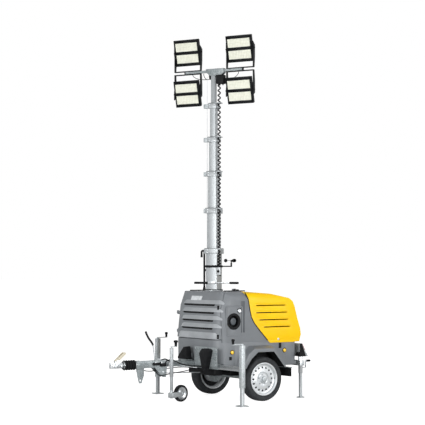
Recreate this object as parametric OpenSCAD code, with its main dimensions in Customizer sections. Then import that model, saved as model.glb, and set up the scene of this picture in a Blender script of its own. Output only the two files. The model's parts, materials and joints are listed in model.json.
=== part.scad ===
// Mobile light tower: a braked single-axle trailer with a moulded generator housing,
// a turning telescopic mast, and four floodlights on a crossbar.
// Millimetres. X points from the coupling to the tail, Z is up, and the ground is z = 0.
// Modules work from the wheel axle; placed() moves them so that the origin is centred.

/* [Trailer] */
// Axle to the coupling's front tip
tongue_reach = 1950; // [1850:5:2400]
// Axle to the rear edge of the light board
tail_reach = 880; // [860:5:1100]
// Centre to centre distance of the outrigger feet
foot_spread = 2006; // [1880:2:2400]
// Axle to the outriggers, forwards
outrigger_x = 608; // [600:1:620]
// Axle to the rear jacks, backwards
rear_jack_x = 703; // [695:1:720]
// Centre of each rear jack from the middle
rear_jack_y = 529; // [520:1:640]
// Height of the top of the chassis rails
rail_top = 500; // [490:1:510]
// Height of a chassis rail
rail_h = 70; // [60:1:80]
// Middle of each chassis rail from the middle of the trailer
rail_y = 330; // [300:1:380]

/* [Wheels] */
// Outside diameter of a road tyre
tyre_d = 580; // [560:1:620]
// Width of a road tyre
tyre_w = 165; // [145:1:175]
// Distance over the outer faces of both tyres
track_w = 1332; // [1320:2:1400]
// Diameter of the rim's bead seat
rim_d = 406; // [380:1:430]
// Holes round a rim's disc
rim_holes = 16; // [8:1:16]
// Diameter of one of those holes
rim_hole_d = 26; // [20:1:40]
// Diameter of the spindle in the hub
spindle_d = 40; // [30:1:50]

/* [Housing] */
// Half the width of the housing
body_half = 530; // [500:1:560]
// Height of the housing's top
body_top = 1435; // [1400:1:1460]
// Height of the deck under the hood
deck_z = 775; // [760:1:800]
// Front face of the door from the axle
door_face_x = 662; // [650:1:690]
// Seam between the door and the fixed housing, from the axle
door_seam_x = 574; // [565:1:580]
// Corner radius of the housing, seen from above
body_corner = 155; // [120:1:170]
// Thickness of the door and hood shells
shell_wall = 12; // [6:1:20]
// Louvre slots in the door, and in each side of the hood
louvres = 4; // [2:1:5]

/* [Mast] */
// Axle to the mast's middle, forwards
mast_x = 350; // [340:1:360]
// Turn of the mast from straight ahead, in degrees
mast_turn = 30; // [0:1:45]
// Side of the widest mast section
section_1_side = 160; // [150:1:170]
// Reduction from each section to the next
section_step = 20; // [16:1:22]
// Wall of a mast section
mast_wall = 5; // [3:1:6]
// Height of a collar at the top of a section
collar_h = 68; // [24:1:70]
// How far a collar stands out from its section
collar_lip = 20; // [12:1:24]
// Length of the crossbar
crossbar_l = 870; // [780:2:1000]
// Side of the crossbar
crossbar_side = 32; // [28:1:50]
// Outside diameter of the coiled cable
coil_d = 44; // [40:1:48]

/* [Lamps] */
// Width of a lamp
lamp_w = 366; // [300:1:380]
// Height of a lamp
lamp_h = 356; // [300:1:390]
// Depth of a lamp
lamp_depth = 80; // [60:1:110]
// Middle of a lamp from the middle of the mast
lamp_y = 391; // [388:1:420]
// Middle of a lamp above or below the crossbar
lamp_offset = 281; // [270:1:300]
// Downward tilt of a lamp, in degrees
lamp_tilt = 15; // [0:1:30]

/* [Hidden] */
$fn = 48;
near = -1;
far = 1;
run_gap = 0.05;         // a pin or shaft in its bore, on the radius
slide_gap = 0.5;        // a tube sliding in another, each side
seat_gap = 0.3;         // pieces that lie against each other
move_gap = 6;           // moving shells past fixed ones
shift_x = (tongue_reach - tail_reach) / 2;
rail_bottom = rail_top - rail_h;
rail_w = 50;
rail_front = -outrigger_x - 32;
rail_rear = rear_jack_x - 25;

module placed() translate([shift_x, 0, 0]) children();

// A box given by its two opposite corners.
module block(a, b) translate(a) cube(b - a);

// A bar along Y with its section drawn in X and Z, between y0 and y1.
module across(y0, y1) translate([0, y1, 0]) rotate([90, 0, 0]) linear_extrude(y1 - y0) children();

// A round rod between two heights.
module post(x, y, z0, z1, d) translate([x, y, z0]) cylinder(d = d, h = z1 - z0);

// A round rod along Y, and one along X.
module rod_y(x, y0, y1, z, d) translate([x, y1, z]) rotate([90, 0, 0]) cylinder(d = d, h = y1 - y0);
module rod_x(x0, x1, y, z, d) translate([x0, y, z]) rotate([0, 90, 0]) cylinder(d = d, h = x1 - x0);

// What is drawn at positive Y, on the near or the far side.
module on_side(s) mirror([0, s == near ? 1 : 0, 0]) children();

// ---- Chassis ----
channel = 54;
beam = channel - 2 * slide_gap;

outrigger_z = 463;
mast_pin_d = 60;
arm_x = 425;
arm_y = track_w / 2 + 24;
plate_x = -690;

module chassis_frame() {
    color("lightgray") placed() difference() {
        union() {
            for (s = [near, far]) {
                block([rail_front, s * rail_y - rail_w / 2, rail_bottom],
                      [rail_rear, s * rail_y + rail_w / 2, rail_top]);
                on_side(s) block([arm_x - 15, rail_y, rail_bottom - 12], [arm_x + 15, arm_y, rail_bottom]);
                block([plate_x, s * 250 - 30, rail_bottom + 10],
                      [rail_front, s * 250 + 30, rail_top]);
            }
            for (x = [-40, 330])
                block([x - 25, -rail_y, rail_bottom], [x + 25, rail_y, rail_top]);
            block([-mast_x - 60, -rail_y, rail_bottom], [-mast_x + 60, rail_y, rail_top]);
            block([rear_jack_x - 25, -rear_jack_y + 40, rail_bottom],
                  [rear_jack_x + 25, rear_jack_y - 40, rail_top]);
            block([-outrigger_x - 32, -500, outrigger_z - 32],
                  [-outrigger_x + 32, 500, outrigger_z + 32]);
            block([plate_x - 4, -573, 470], [plate_x, -45, 716]);
            block([plate_x - 4, 10, 450], [plate_x, 280, 620]);
        }
        block([-outrigger_x - channel / 2, -600, outrigger_z - channel / 2],
              [-outrigger_x + channel / 2, 600, outrigger_z + channel / 2]);
        block([plate_x - 10, -55, rail_bottom], [plate_x + 5, 55, beam_top + 5]);
        post(-mast_x, 0, rail_bottom - 5, rail_top + 5, mast_pin_d + 2 * run_gap);
    }
}

// ---- Drawbar, overrun device and coupling ----
tip = -tongue_reach;
beam_half = 50;
beam_top = 522;
beam_bottom = 462;
coupling_z = 502;
head_l = 190;
bellows_l = 185;
housing_front = tip + head_l + bellows_l;
housing_rear = housing_front + 325;
draw_tube_d = 50;

module drawbar_beam() {
    color("lightgray") placed()
        block([housing_rear, -beam_half, beam_bottom], [rail_front, beam_half, beam_top]);
}

jockey_x = -1082;
clamp_half = 32;
cheek_rear = jockey_x - clamp_half - move_gap;
lever_pivot = [housing_rear + 15, beam_half + 6, 500];
lever_pin_d = 14;

module overrun_housing() {
    color("lightgray") placed() difference() {
        union() {
            block([housing_front, -45, 456], [housing_rear, 45, 548]);
            rod_x(housing_front, housing_front + 60, 0, coupling_z, 108);
            for (s = [near, far])
                on_side(s) across(beam_half, beam_half + 6)
                    polygon([[housing_rear - 60, 548], [housing_rear + 75, 548],
                             [cheek_rear, 520], [cheek_rear - 20, 330],
                             [housing_rear + 60, 330], [housing_rear - 60, 456]]);
            for (s = [near, far])
                block([housing_rear - 60, s * 47.5 - 2.5, 456],
                      [housing_rear, s * 47.5 + 2.5, 548]);
            across(-6, 6)
                polygon([[housing_front + 15, 456], [housing_front + 130, 456],
                         [housing_front + 130, 360], [housing_front + 95, 262],
                         [housing_front + 60, 262], [housing_front + 35, 350]]);
            rod_y(lever_pivot[0], lever_pivot[1], lever_pivot[1] + 20, lever_pivot[2], lever_pin_d);
        }
        rod_x(housing_front - 1, housing_rear - 30, 0, coupling_z, draw_tube_d + 2 * seat_gap);
        rod_y(housing_front + 77, -10, 10, 300, 24);
    }
}

ball_d = 50;
ball_x = tip + 42;
handle_pivot = [ball_x + 65, 0, coupling_z + 66];
handle_pin_d = 10;

module coupling_head() {
    color("silver") placed() difference() {
        union() {
            rod_x(ball_x, housing_rear - 60, 0, coupling_z, draw_tube_d);
            rod_x(ball_x + 30, tip + head_l - 2, 0, coupling_z, 72);
            translate([ball_x, 0, coupling_z - 32]) cylinder(r = ball_x - tip, h = 72);
            block([ball_x, -36, coupling_z - 30], [ball_x + 80, 36, coupling_z + 36]);
            for (s = [near, far])
                block([ball_x + 40, s * 38 - 5, coupling_z - 10],
                      [ball_x + 90, s * 38 + 5, coupling_z + 72]);
            rod_y(handle_pivot[0], -40, 40, handle_pivot[2], handle_pin_d);
        }
        translate([ball_x, 0, coupling_z]) sphere(d = ball_d + 1);
        translate([ball_x, 0, coupling_z - 60]) cylinder(d = ball_d + 1, h = 60);
    }
}

module coupling_handle() {
    grip = [handle_pivot[0] + 95, handle_pivot[2] + 88];
    color("wheat") placed() difference() {
        across(-28, 28)
            polygon([[handle_pivot[0] - 16, handle_pivot[2] - 9], [handle_pivot[0] + 12, handle_pivot[2] - 9],
                     grip + [20, -12], grip + [20, 12], grip - [6, -12],
                     [handle_pivot[0] - 16, handle_pivot[2] + 12]]);
        block([handle_pivot[0] + 28, -17, handle_pivot[2] - 40], [grip[0] - 2, 17, grip[1] + 30]);
        rod_y(handle_pivot[0], -30, 30, handle_pivot[2], handle_pin_d + 2 * run_gap);
    }
}

bellows_ribs = 5;

module bellows() {
    rib = (bellows_l - 4) / bellows_ribs;
    profile = [for (i = [0 : bellows_ribs - 1]) each
        [[42, i * rib], [65, (i + 0.35) * rib], [65, (i + 0.65) * rib]], [42, bellows_ribs * rib]];
    color("black") placed() translate([tip + head_l + 1, 0, coupling_z]) rotate([0, 90, 0])
        rotate_extrude()
            polygon(concat([[draw_tube_d / 2 + seat_gap, 0]], profile,
                           [[draw_tube_d / 2 + seat_gap, bellows_ribs * rib]]));
}

lever_lean = 7.5;
lever_rod = 250;
grip_lean = 25;

module handbrake_lever() {
    color("dimgray") placed()
        translate([lever_pivot[0], lever_pivot[1] + 1, lever_pivot[2]]) rotate([0, -lever_lean, 0])
            difference() {
                union() {
                    rod_y(0, 0, 12, 0, 44);
                    block([-10, 0, 0], [10, 12, lever_rod]);
                    translate([0, 6, lever_rod - 12]) rotate([0, -grip_lean, 0]) cylinder(d = 30, h = 210);
                }
                rod_y(0, -1, 13, 0, lever_pin_d + 2 * run_gap);
            }
}

// ---- Jockey wheel ----
jockey_y = -94;
jockey_turn = 10;
jockey_trail = 165;
jockey_wheel_d = 220;
jockey_wheel_w = 60;
jockey_tube_d = 50;
jockey_tube_low = 330;
stem_d = 42;
stem_bottom = 160;
stem_top = 480;
jockey_pin_d = 16;
swivel_pin_d = 20;

module jockey_tube() {
    color("silver") placed() translate([jockey_x, jockey_y, 0]) difference() {
        union() {
            post(0, 0, jockey_tube_low, 705, jockey_tube_d);
            block([-clamp_half, 0, beam_bottom + 4], [clamp_half, -beam_half - jockey_y, beam_top - 4]);
            post(0, 0, 705, 726, 20);
            block([-8, -12, 716], [78, 12, 726]);
            post(66, 0, 726, 800, 34);
        }
        post(0, 0, jockey_tube_low - 1, 690, stem_d + 2 * slide_gap);
    }
}

module jockey_stem() {
    color("gainsboro") placed() translate([jockey_x, jockey_y, 0]) difference() {
        post(0, 0, stem_bottom, stem_top, stem_d);
        post(0, 0, stem_bottom - 1, stem_bottom + 41, swivel_pin_d + 2 * run_gap);
    }
}

module at_jockey() translate([jockey_x, jockey_y, 0]) rotate([0, 0, jockey_turn]) children();

module jockey_fork() {
    inner = jockey_wheel_w / 2 + move_gap;
    axle_z = jockey_wheel_d / 2;
    post_r = stem_d / 2;
    color("silver") placed() at_jockey() {
        post(0, 0, 55, stem_bottom - seat_gap, stem_d);
        post(0, 0, stem_bottom - 10, stem_bottom + 40, swivel_pin_d);
        block([-post_r, -inner - 6, 62], [post_r, inner + 6, 124]);
        for (s = [near, far])
            on_side(s) across(inner, inner + 6)
                polygon([[-post_r, 62], [-post_r, 124], [post_r, 132], [jockey_trail + 20, axle_z + 20],
                         [jockey_trail + 20, axle_z - 22], [post_r, 62]]);
        rod_y(jockey_trail, -inner - 3, inner + 3, axle_z, jockey_pin_d);
    }
}

module jockey_wheel() {
    w = jockey_wheel_w;
    r = jockey_wheel_d / 2;
    color("dimgray") placed() at_jockey() translate([jockey_trail, 0, r]) rotate([90, 0, 0])
        rotate_extrude()
            polygon([[jockey_pin_d / 2 + run_gap, -w / 2], [30, -w / 2], [36, -w / 4], [r - 34, -w / 4],
                     [r - 26, -w / 2], [r - 6, -w / 2 + 4], [r, -w / 5], [r, w / 5],
                     [r - 6, w / 2 - 4], [r - 26, w / 2], [r - 34, w / 4], [36, w / 4],
                     [30, w / 2], [jockey_pin_d / 2 + run_gap, w / 2]]);
}

// ---- Axle and road wheels ----
axle_z = tyre_d / 2;
axle_half = 440;
axle_side = 60;
wheel_y = track_w / 2 - tyre_w / 2;
hub_inner = 478;

module axle() {
    color("silver") placed() {
        block([-axle_side / 2, -axle_half, axle_z - axle_side / 2],
              [axle_side / 2, axle_half, axle_z + axle_side / 2]);
        for (s = [near, far]) {
            block([-60, s * rail_y - 20, axle_z + axle_side / 2], [60, s * rail_y + 20, rail_bottom]);
            on_side(s) rod_y(0, axle_half, 600, axle_z, spindle_d);
            on_side(s) rod_y(0, 458, 468, axle_z, 236);
            on_side(s) rod_y(0, 430, 460, axle_z, 70);
        }
    }
}

rim_half = tyre_w / 2 - 12;
flange_t = 8;
bead_r = rim_d / 2;
disc_y = 24;

// One wheel's rim, drum and hub about its own axis; +Z of the profile points outwards.
module rim() {
    hub = spindle_d / 2 + run_gap;
    inner_z = hub_inner - wheel_y;
    difference() {
        rotate_extrude(convexity = 6)
            polygon([[hub, inner_z], [115, inner_z], [115, disc_y - 14], [bead_r - 20, disc_y - 14],
                     [bead_r - 20, -rim_half + 20], [bead_r - 8, -rim_half + 8], [bead_r + 2, -rim_half],
                     [bead_r + 12, -rim_half], [bead_r + 12, -rim_half + flange_t],
                     [bead_r, -rim_half + flange_t],
                     [bead_r, rim_half - flange_t], [bead_r + 12, rim_half - flange_t],
                     [bead_r + 12, rim_half], [bead_r + 2, rim_half], [bead_r - 8, rim_half - 8],
                     [bead_r - 14, disc_y + 10], [bead_r - 34, disc_y + 4], [118, disc_y + 16],
                     [96, disc_y + 20], [84, disc_y + 6], [50, disc_y + 4], [44, disc_y + 34],
                     [hub, disc_y + 34]]);
        for (i = [0 : rim_holes - 1])
            rotate([0, 0, i * 360 / rim_holes]) translate([(bead_r - 20 + 115) / 2 + 2, 0, disc_y - 30])
                cylinder(d = rim_hole_d, h = 80);
    }
}

module tyre() {
    w = tyre_w / 2;
    r = tyre_d / 2;
    seat = bead_r + seat_gap;
    edge = rim_half - flange_t - seat_gap;
    rotate_extrude()
        polygon([[seat, -edge], [bead_r + 13, -edge], [bead_r + 20, -w + 6], [bead_r + 36, -w],
                 [r - 28, -w + 1], [r - 10, -w + 9], [r, -w + 24],
                 [r, w - 24], [r - 10, w - 9], [r - 28, w - 1], [bead_r + 36, w],
                 [bead_r + 20, w - 6], [bead_r + 13, edge], [seat, edge]]);
}

module at_wheel(s) translate([0, s * wheel_y, axle_z]) rotate([s == near ? 90 : -90, 0, 0]) children();

module rim_near() { color("gainsboro") placed() at_wheel(near) rim(); }
module tyre_near() { color("dimgray") placed() at_wheel(near) tyre(); }
module rim_far() { color("gainsboro") placed() at_wheel(far) rim(); }
module tyre_far() { color("dimgray") placed() at_wheel(far) tyre(); }

// ---- Moulded base, fenders and housing ----
tub_front = -door_face_x + 12;
tub_rear = 690;
tub_half = body_half - 6;
wheel_bay = 488;
bay_front = -380;
bay_rear = 440;
sill_top = 806;
well_d = 240;

// The housing's outline seen from above, with round corners.
module plan(x0, x1, half, r) {
    translate([x0 + r, -half + r]) square([x1 - x0 - 2 * r, 2 * half - 2 * r]);
    translate([x0, -half + r]) square([x1 - x0, 2 * half - 2 * r]);
    translate([x0 + r, -half]) square([x1 - x0 - 2 * r, 2 * half]);
    for (x = [x0 + r, x1 - r], y = [-half + r, half - r]) translate([x, y]) circle(r);
}

module base_tub() {
    color("gray") placed() difference() {
        union() {
            translate([0, 0, rail_top]) linear_extrude(deck_z - rail_top)
                plan(tub_front, tub_rear, tub_half, body_corner);
            translate([0, 0, deck_z]) linear_extrude(sill_top - deck_z) intersection() {
                plan(tub_front, tub_rear, tub_half, body_corner);
                translate([tub_front, -tub_half]) square([-door_seam_x - 3 - tub_front, 2 * tub_half]);
            }
            for (s = [near, far], x = [[-550, bay_front], [bay_rear, 640]])
                block([x[0], s * (tub_half - 12) - 6, 455], [x[1], s * (tub_half - 12) + 6, rail_top]);
        }
        for (s = [near, far])
            on_side(s) block([bay_front, wheel_bay, 400], [bay_rear, wheel_bay + 100, deck_z + 1]);
        block([tub_front - 5, -60, rail_top - 5], [tub_front + 40, 60, beam_top + 10]);
        post(-mast_x, 0, rail_top - 1, deck_z + 1, well_d);
    }
}

arch = [[-310, 440], [-292, 475], [-228, 563], [-123, 646], [134, 646], [218, 548], [300, 452], [305, 440]];
arch_outer = [[334, 440], [326, 462], [240, 572], [124, 722],
              [-135, 722], [-275, 622], [-337, 500], [-347, 440]];

// Fills the bay beside the wheel, flush with the tub's side, up to the deck.
bay_fill = [[bay_rear, 452], [bay_rear, deck_z], [bay_front, deck_z], [bay_front, 452]];
fender_out = 690;

module fenders() {
    color("gray") placed() for (s = [near, far]) {
        intersection() {
            on_side(s) across(wheel_bay, fender_out)
                polygon(concat(arch, arch_outer));
            across_x([[s * wheel_bay, 400], [s * fender_out, 400], [s * fender_out, 690],
                      [s * 560, 740], [s * wheel_bay, 760]]);
        }
        on_side(s) across(wheel_bay, tub_half)
            polygon(concat(arch, bay_fill));
    }
}

// A bar along X over the whole trailer with its section drawn in Y and Z.
module across_x(points) translate([-900, 0, 0]) rotate([90, 0, 90]) linear_extrude(1800) polygon(points);

// Section of the housing in Y and Z: vertical sides and round top edges.
module housing_section(half, top, r) {
    translate([-900, 0, 0]) rotate([90, 0, 90]) linear_extrude(1800) {
        translate([-half, 400]) square([2 * half, top - r - 400]);
        translate([-half + r, 400]) square([2 * half - 2 * r, top - 400]);
        for (s = [near, far]) translate([s * (half - r), top - r]) circle(r);
    }
}

// Side line where the hood meets the fixed housing, from the top down.
joint_line = [[-226, body_top], [-168, 1330], [-145, 1200], [-118, 1095],
              [-72, 1015], [22, 912], [150, deck_z + 1]];
top_round = 112;
filler_x = -400;
filler_z = 1047;
filler_d = 156;
door_hinge = [-door_seam_x + 6, body_half + 16];
door_bottom = 812;
face_low = [-door_face_x, 800];
face_bend = [-door_face_x + 53, 1250];
face_high = [-door_face_x + 122, body_top];
seam_bend = 1200;
seam_back = 74;
hinge_heights = [880, 1130];
door_pin_d = 12;
hood_pin = [-236, body_top + 22];
hood_pin_d = 10;
hood_lug_y = 300;

// A block with a round-cornered plan whose front leans from point a to point b.
module leaning(a, b, half, r) {
    translate([a[0], 0, a[1]]) rotate([0, atan((b[0] - a[0]) / (b[1] - a[1])), 0])
        translate([0, 0, -1500]) linear_extrude(3000) plan(0, 2400, half, r);
}

// The shape of the door and the fixed housing together, set in by d.
module front_shape(d) {
    intersection() {
        leaning(face_low + [d, 0], face_bend + [d, 0], body_half - d, body_corner - d);
        leaning(face_bend + [d, -d / 2], face_high + [d, -d / 2], body_half - d, body_corner - d);
        housing_section(body_half - d, body_top - d, top_round - d);
    }
}

// Everything in front of the seam, moved forward by d.
module seam_side(d) {
    x = -door_seam_x - d;
    across(-body_half - 1, body_half + 1)
        polygon([[x - 200, door_bottom + d], [x, door_bottom + d], [x, seam_bend],
                 [x + seam_back, body_top + 1], [x - 200, body_top + 1]]);
}

module front_housing() {
    color("gray") placed() difference() {
        union() {
            intersection() {
                across(-body_half, body_half)
                    polygon(concat([[-door_seam_x, deck_z], [-door_seam_x, seam_bend],
                                    [-door_seam_x + seam_back, body_top]], joint_line,
                                   [[150, deck_z]]));
                front_shape(0);
            }
            for (z = hinge_heights) {
                block([-door_seam_x, body_half - 120, z - 14], [door_hinge[0] + 12, door_hinge[1] + 10, z]);
                post(door_hinge[0], door_hinge[1], z - 5, z + 42, door_pin_d);
            }
            for (s = [near, far]) {
                block([hood_pin[0] - 30, s * hood_lug_y - 6, body_top - 10],
                      [hood_pin[0] + 12, s * hood_lug_y + 6, hood_pin[1] + 12]);
                on_side(s) rod_y(hood_pin[0], hood_lug_y, hood_lug_y + 40, hood_pin[1], hood_pin_d);
            }
        }
        post(-mast_x, 0, deck_z - 1, body_top + 1, well_d);
        rod_y(filler_x, -body_half - 1, -body_half + 55, filler_z, filler_d);
    }
}

louvre_h = 14;
louvre_zs = [for (i = [0 : louvres - 1]) 1262 - i * 102];

module front_door() {
    x0 = -door_face_x;
    color("gray") placed() {
        difference() {
            intersection() {
                front_shape(0);
                seam_side(move_gap);
            }
            intersection() {
                front_shape(shell_wall);
                seam_side(0);
                block([-900, -900, door_bottom + shell_wall], [0, 900, body_top]);
            }
            for (z = louvre_zs)
                block([x0 - 1, -265, z - louvre_h / 2], [x0 + 90, 265, z + louvre_h / 2]);
        }
        for (z = hinge_heights)
            difference() {
                union() {
                    post(door_hinge[0], door_hinge[1], z + seat_gap, z + 36, 24);
                    across_z(z + seat_gap, z + 36)
                        polygon([[-door_seam_x - move_gap - 24, body_half - 130],
                                 [-door_seam_x - move_gap, body_half - 130],
                                 [-door_seam_x - move_gap, door_hinge[1] - 11],
                                 [door_hinge[0], door_hinge[1] - 11],
                                 [door_hinge[0], door_hinge[1] + 11],
                                 [-door_seam_x - move_gap - 14, door_hinge[1] - 9]]);
                }
                post(door_hinge[0], door_hinge[1], z, z + 40, door_pin_d + 2 * run_gap);
            }
    }
}

module across_z(z0, z1) translate([0, 0, z0]) linear_extrude(z1 - z0) children();

module door_latches() {
    color("black") placed() difference() {
        for (p = [[-603, -437, 1225, 30], [-624, -478, 850, 42]])
            translate([p[0], p[1], p[2]]) rotate([0, 0, p[3]])
                block([-18, -13, -28], [34, 13, 28]);
        front_shape(-seat_gap);
    }
}

hood_gap = 8;
hood_front = [for (p = joint_line) p + [hood_gap, 0]];
hood_back = [[690, deck_z + 6], [712, 850], [700, 935], [652, 1070], [604, 1235], [572, 1300], [510, 1342]];

hood_low = deck_z + 6;

// The front and rear end of each louvre in the hood, from the top down.
louvre_x = [[-37, 450], [-37, 474], [16, 492], [90, 524], [145, 540]];

// The hood's side outline: the whole of it, and the space inside, open in front and below.
module hood_outline() {
    polygon(concat([for (i = [0 : len(hood_front) - 2]) hood_front[i]], [[158, hood_low]],
                   hood_back, [[215, 1402]]));
}

module hood_space() {
    d = shell_wall;
    polygon(concat([[hood_front[0][0] - 40, body_top - d]],
                   [for (i = [1 : len(hood_front) - 2]) hood_front[i] - [40, 0]], [[110, hood_low - 20]],
                   [[690 - d, hood_low - 20]], [for (p = hood_back) p - [d, p[1] > 1200 ? d : 0]],
                   [[215, 1402 - d]]));
}

module hood() {
    color("gold") placed() {
        difference() {
            intersection() {
                across(-body_half, body_half) hood_outline();
                housing_section(body_half, body_top, top_round);
            }
            intersection() {
                across(-body_half + shell_wall, body_half - shell_wall) hood_space();
                housing_section(body_half - shell_wall, body_top - shell_wall, top_round - shell_wall);
            }
            for (i = [0 : louvres - 1])
                block([louvre_x[i][0], -body_half - 1, 1240 - 95 * i],
                      [louvre_x[i][1], body_half + 1, 1240 + louvre_h - 95 * i]);
        }
        for (s = [near, far])
            on_side(s) difference() {
                union() {
                    rod_y(hood_pin[0], hood_lug_y + 7, hood_lug_y + 32, hood_pin[1], 26);
                    block([hood_pin[0], hood_lug_y + 7, hood_pin[1] - 12],
                          [hood_pin[0] + 60, hood_lug_y + 32, hood_pin[1] + 4]);
                    block([hood_front[0][0] + hood_gap, hood_lug_y + 7, body_top - shell_wall],
                          [hood_pin[0] + 60, hood_lug_y + 32, hood_pin[1]]);
                }
                rod_y(hood_pin[0], 0, body_half, hood_pin[1], hood_pin_d + 2 * run_gap);
            }
    }
}

module hood_latches() {
    color("black") placed() for (s = [near, far])
        on_side(s) block([340, tub_half, 690], [375, tub_half + 12, 760]);
}

module power_unit() {
    color("dimgray") placed() {
        block([180, -300, deck_z], [560, 300, deck_z + 60]);
        block([200, -190, deck_z + 60], [470, 190, 1180]);
        rod_x(470, 585, 0, 960, 300);
    }
}

module fuel_filler() {
    color("black") placed() {
        difference() {
            rod_y(filler_x, -body_half - 5, -body_half, filler_z, filler_d + 12);
            rod_y(filler_x, -body_half - 6, -body_half + 1, filler_z, filler_d);
        }
        rod_y(filler_x, -body_half + 8, -body_half + 34, filler_z, 92);
        rod_y(filler_x, -body_half + 30, -body_half + 55, filler_z, 64);
    }
}

module marker_lamps() {
    color("orange") placed() for (s = [near, far], x = [-425, 434])
        on_side(s) rod_y(x, tub_half, tub_half + 10, 646, 56);
}

// ---- Rear ----
board_front = 735;
board_low = 545;
board_high = 722;
board_edge = 775;
board_half = 475;

module light_board() {
    color("silver") placed() {
        across(-board_half, board_half)
            polygon([[board_front, board_low], [board_front, board_high], [board_edge, board_high],
                     [tail_reach, board_low]]);
        for (s = [near, far])
            block([rail_rear + 20, s * 250 - 20, rail_top], [board_front, s * 250 + 20, board_low + 20]);
    }
}

// Point a share t down the board's sloping face, d out from it.
slope = [tail_reach - board_edge, board_low - board_high];
slope_out = [-slope[1], slope[0]] / norm(slope);
function on_board(t, d) = [board_edge, board_high] + t * slope + d * slope_out;

module tail_lamps() {
    color("red") placed() for (s = [near, far])
        on_side(s) across(340, 450)
            polygon([on_board(0.1, seat_gap), on_board(0.1, 22),
                     on_board(0.62, 22), on_board(0.62, seat_gap)]);
}

module mud_flaps() {
    color("black") placed() for (s = [near, far])
        on_side(s) block([arm_x - 3, arm_y - 280, 305], [arm_x + 3, arm_y - 5, rail_bottom - 12]);
}

module chocks() {
    color("black") placed() {
        translate([plate_x - 84, 240, 540]) rotate([90, 0, 90]) linear_extrude(80)
            polygon([[0, 0], [0, 28], [-140, 160], [-192, 168], [-240, 0]]);
        translate([plate_x - 84, 0, 0]) rotate([90, 0, 90]) linear_extrude(80)
            polygon([[-333, 440], [-268, 637], [-330, 700], [-440, 700], [-476, 680], [-440, 565], [-388, 410]]);
    }
}

// ---- Outriggers and jacks ----
jack_side = 56;
leg_side = 42;
leg_bore = leg_side + 2 * slide_gap;
jack_low = 232;
jack_high = 766;
foot_y = foot_spread / 2;
beam_inner = 370;

module outrigger() {
    difference() {
        union() {
            block([-beam / 2, -foot_y + jack_side / 2, outrigger_z - beam / 2],
                  [beam / 2, -beam_inner, outrigger_z + beam / 2]);
            block([-jack_side / 2, -foot_y - jack_side / 2, jack_low],
                  [jack_side / 2, -foot_y + jack_side / 2, jack_high]);
            block([-12, -foot_y - 12, jack_high], [12, -foot_y + 12, jack_high + 14]);
            block([-150, -foot_y - 10, jack_high + 8], [12, -foot_y + 10, jack_high + 18]);
            post(-140, -foot_y, jack_high + 18, jack_high + 78, 28);
        }
        block([-leg_bore / 2, -foot_y - leg_bore / 2, jack_low - 1],
              [leg_bore / 2, -foot_y + leg_bore / 2, jack_high - 40]);
    }
}

module jack_leg() {
    block([-leg_side / 2, -foot_y - leg_side / 2, 14], [leg_side / 2, -foot_y + leg_side / 2, 500]);
    block([-62, -foot_y - 62, 0], [62, -foot_y + 62, 14]);
}

module at_outrigger(s) translate([-outrigger_x, 0, 0]) rotate([0, 0, s == near ? 0 : 180]) children();

module outrigger_near() { color("lightgray") placed() at_outrigger(near) outrigger(); }
module outrigger_far() { color("lightgray") placed() at_outrigger(far) outrigger(); }
module jack_leg_near() { color("silver") placed() at_outrigger(near) jack_leg(); }
module jack_leg_far() { color("silver") placed() at_outrigger(far) jack_leg(); }

rear_leg_d = 48;
rear_tube_d = 60;
rear_tube_low = 330;
rear_tube_high = 600;

module rear_jack_tubes() {
    color("dimgray") placed() for (s = [near, far]) {
        y = s * rear_jack_y;
        difference() {
            union() {
                post(rear_jack_x, y, rear_tube_low, rear_tube_high, rear_tube_d);
                block([rear_jack_x - 34, y - 40, rail_bottom], [rear_jack_x + 34, y + 40, rail_top]);
                rod_x(rear_jack_x + 20, rear_jack_x + 92, y, 400, 14);
                block([rear_jack_x + 84, y - 8, 392], [rear_jack_x + 92, y + 8, 500]);
                rod_x(rear_jack_x + 92, rear_jack_x + 165, y, 490, 26);
            }
            post(rear_jack_x, y, rear_tube_low - 1, rear_tube_high - 20, rear_leg_d + 2 * slide_gap);
        }
    }
}

module rear_leg(s) {
    post(rear_jack_x, s * rear_jack_y, 5, 420, rear_leg_d);
    post(rear_jack_x, s * rear_jack_y, 0, 12, 110);
}

module rear_leg_near() { color("silver") placed() rear_leg(near); }
module rear_leg_far() { color("silver") placed() rear_leg(far); }

// ---- Mast ----
sections = 6;
mast_floor = rail_top + seat_gap;
crossbar_z = 4400;
crossbar_low = crossbar_z - crossbar_side / 2;
mast_tops = [2003, 2544, 3039, 3502, 3960, crossbar_low];
nested_pitch = 75;
head_nest = 235;
bottom_pitch = 15;
cable_x = -60;
cable_y = -(section_1_side / 2 + coil_d / 2 + 5);
ring_d = coil_d + 10;

function side(k) = section_1_side - (k - 1) * section_step;
function nested(k) = mast_tops[0] + min(k - 1, sections - 2) * nested_pitch
    + (k == sections ? head_nest : 0);
function raised(k) = mast_tops[k - 1] - nested(k);
function bottom(k) = mast_floor + 12 + bottom_pitch * (k - 1) + raised(k);

module at_mast() translate([-mast_x, 0, 0]) rotate([0, 0, mast_turn]) children();

module square_bar(s, z0, z1) translate([-s / 2, -s / 2, z0]) cube([s, s, z1 - z0]);

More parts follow.
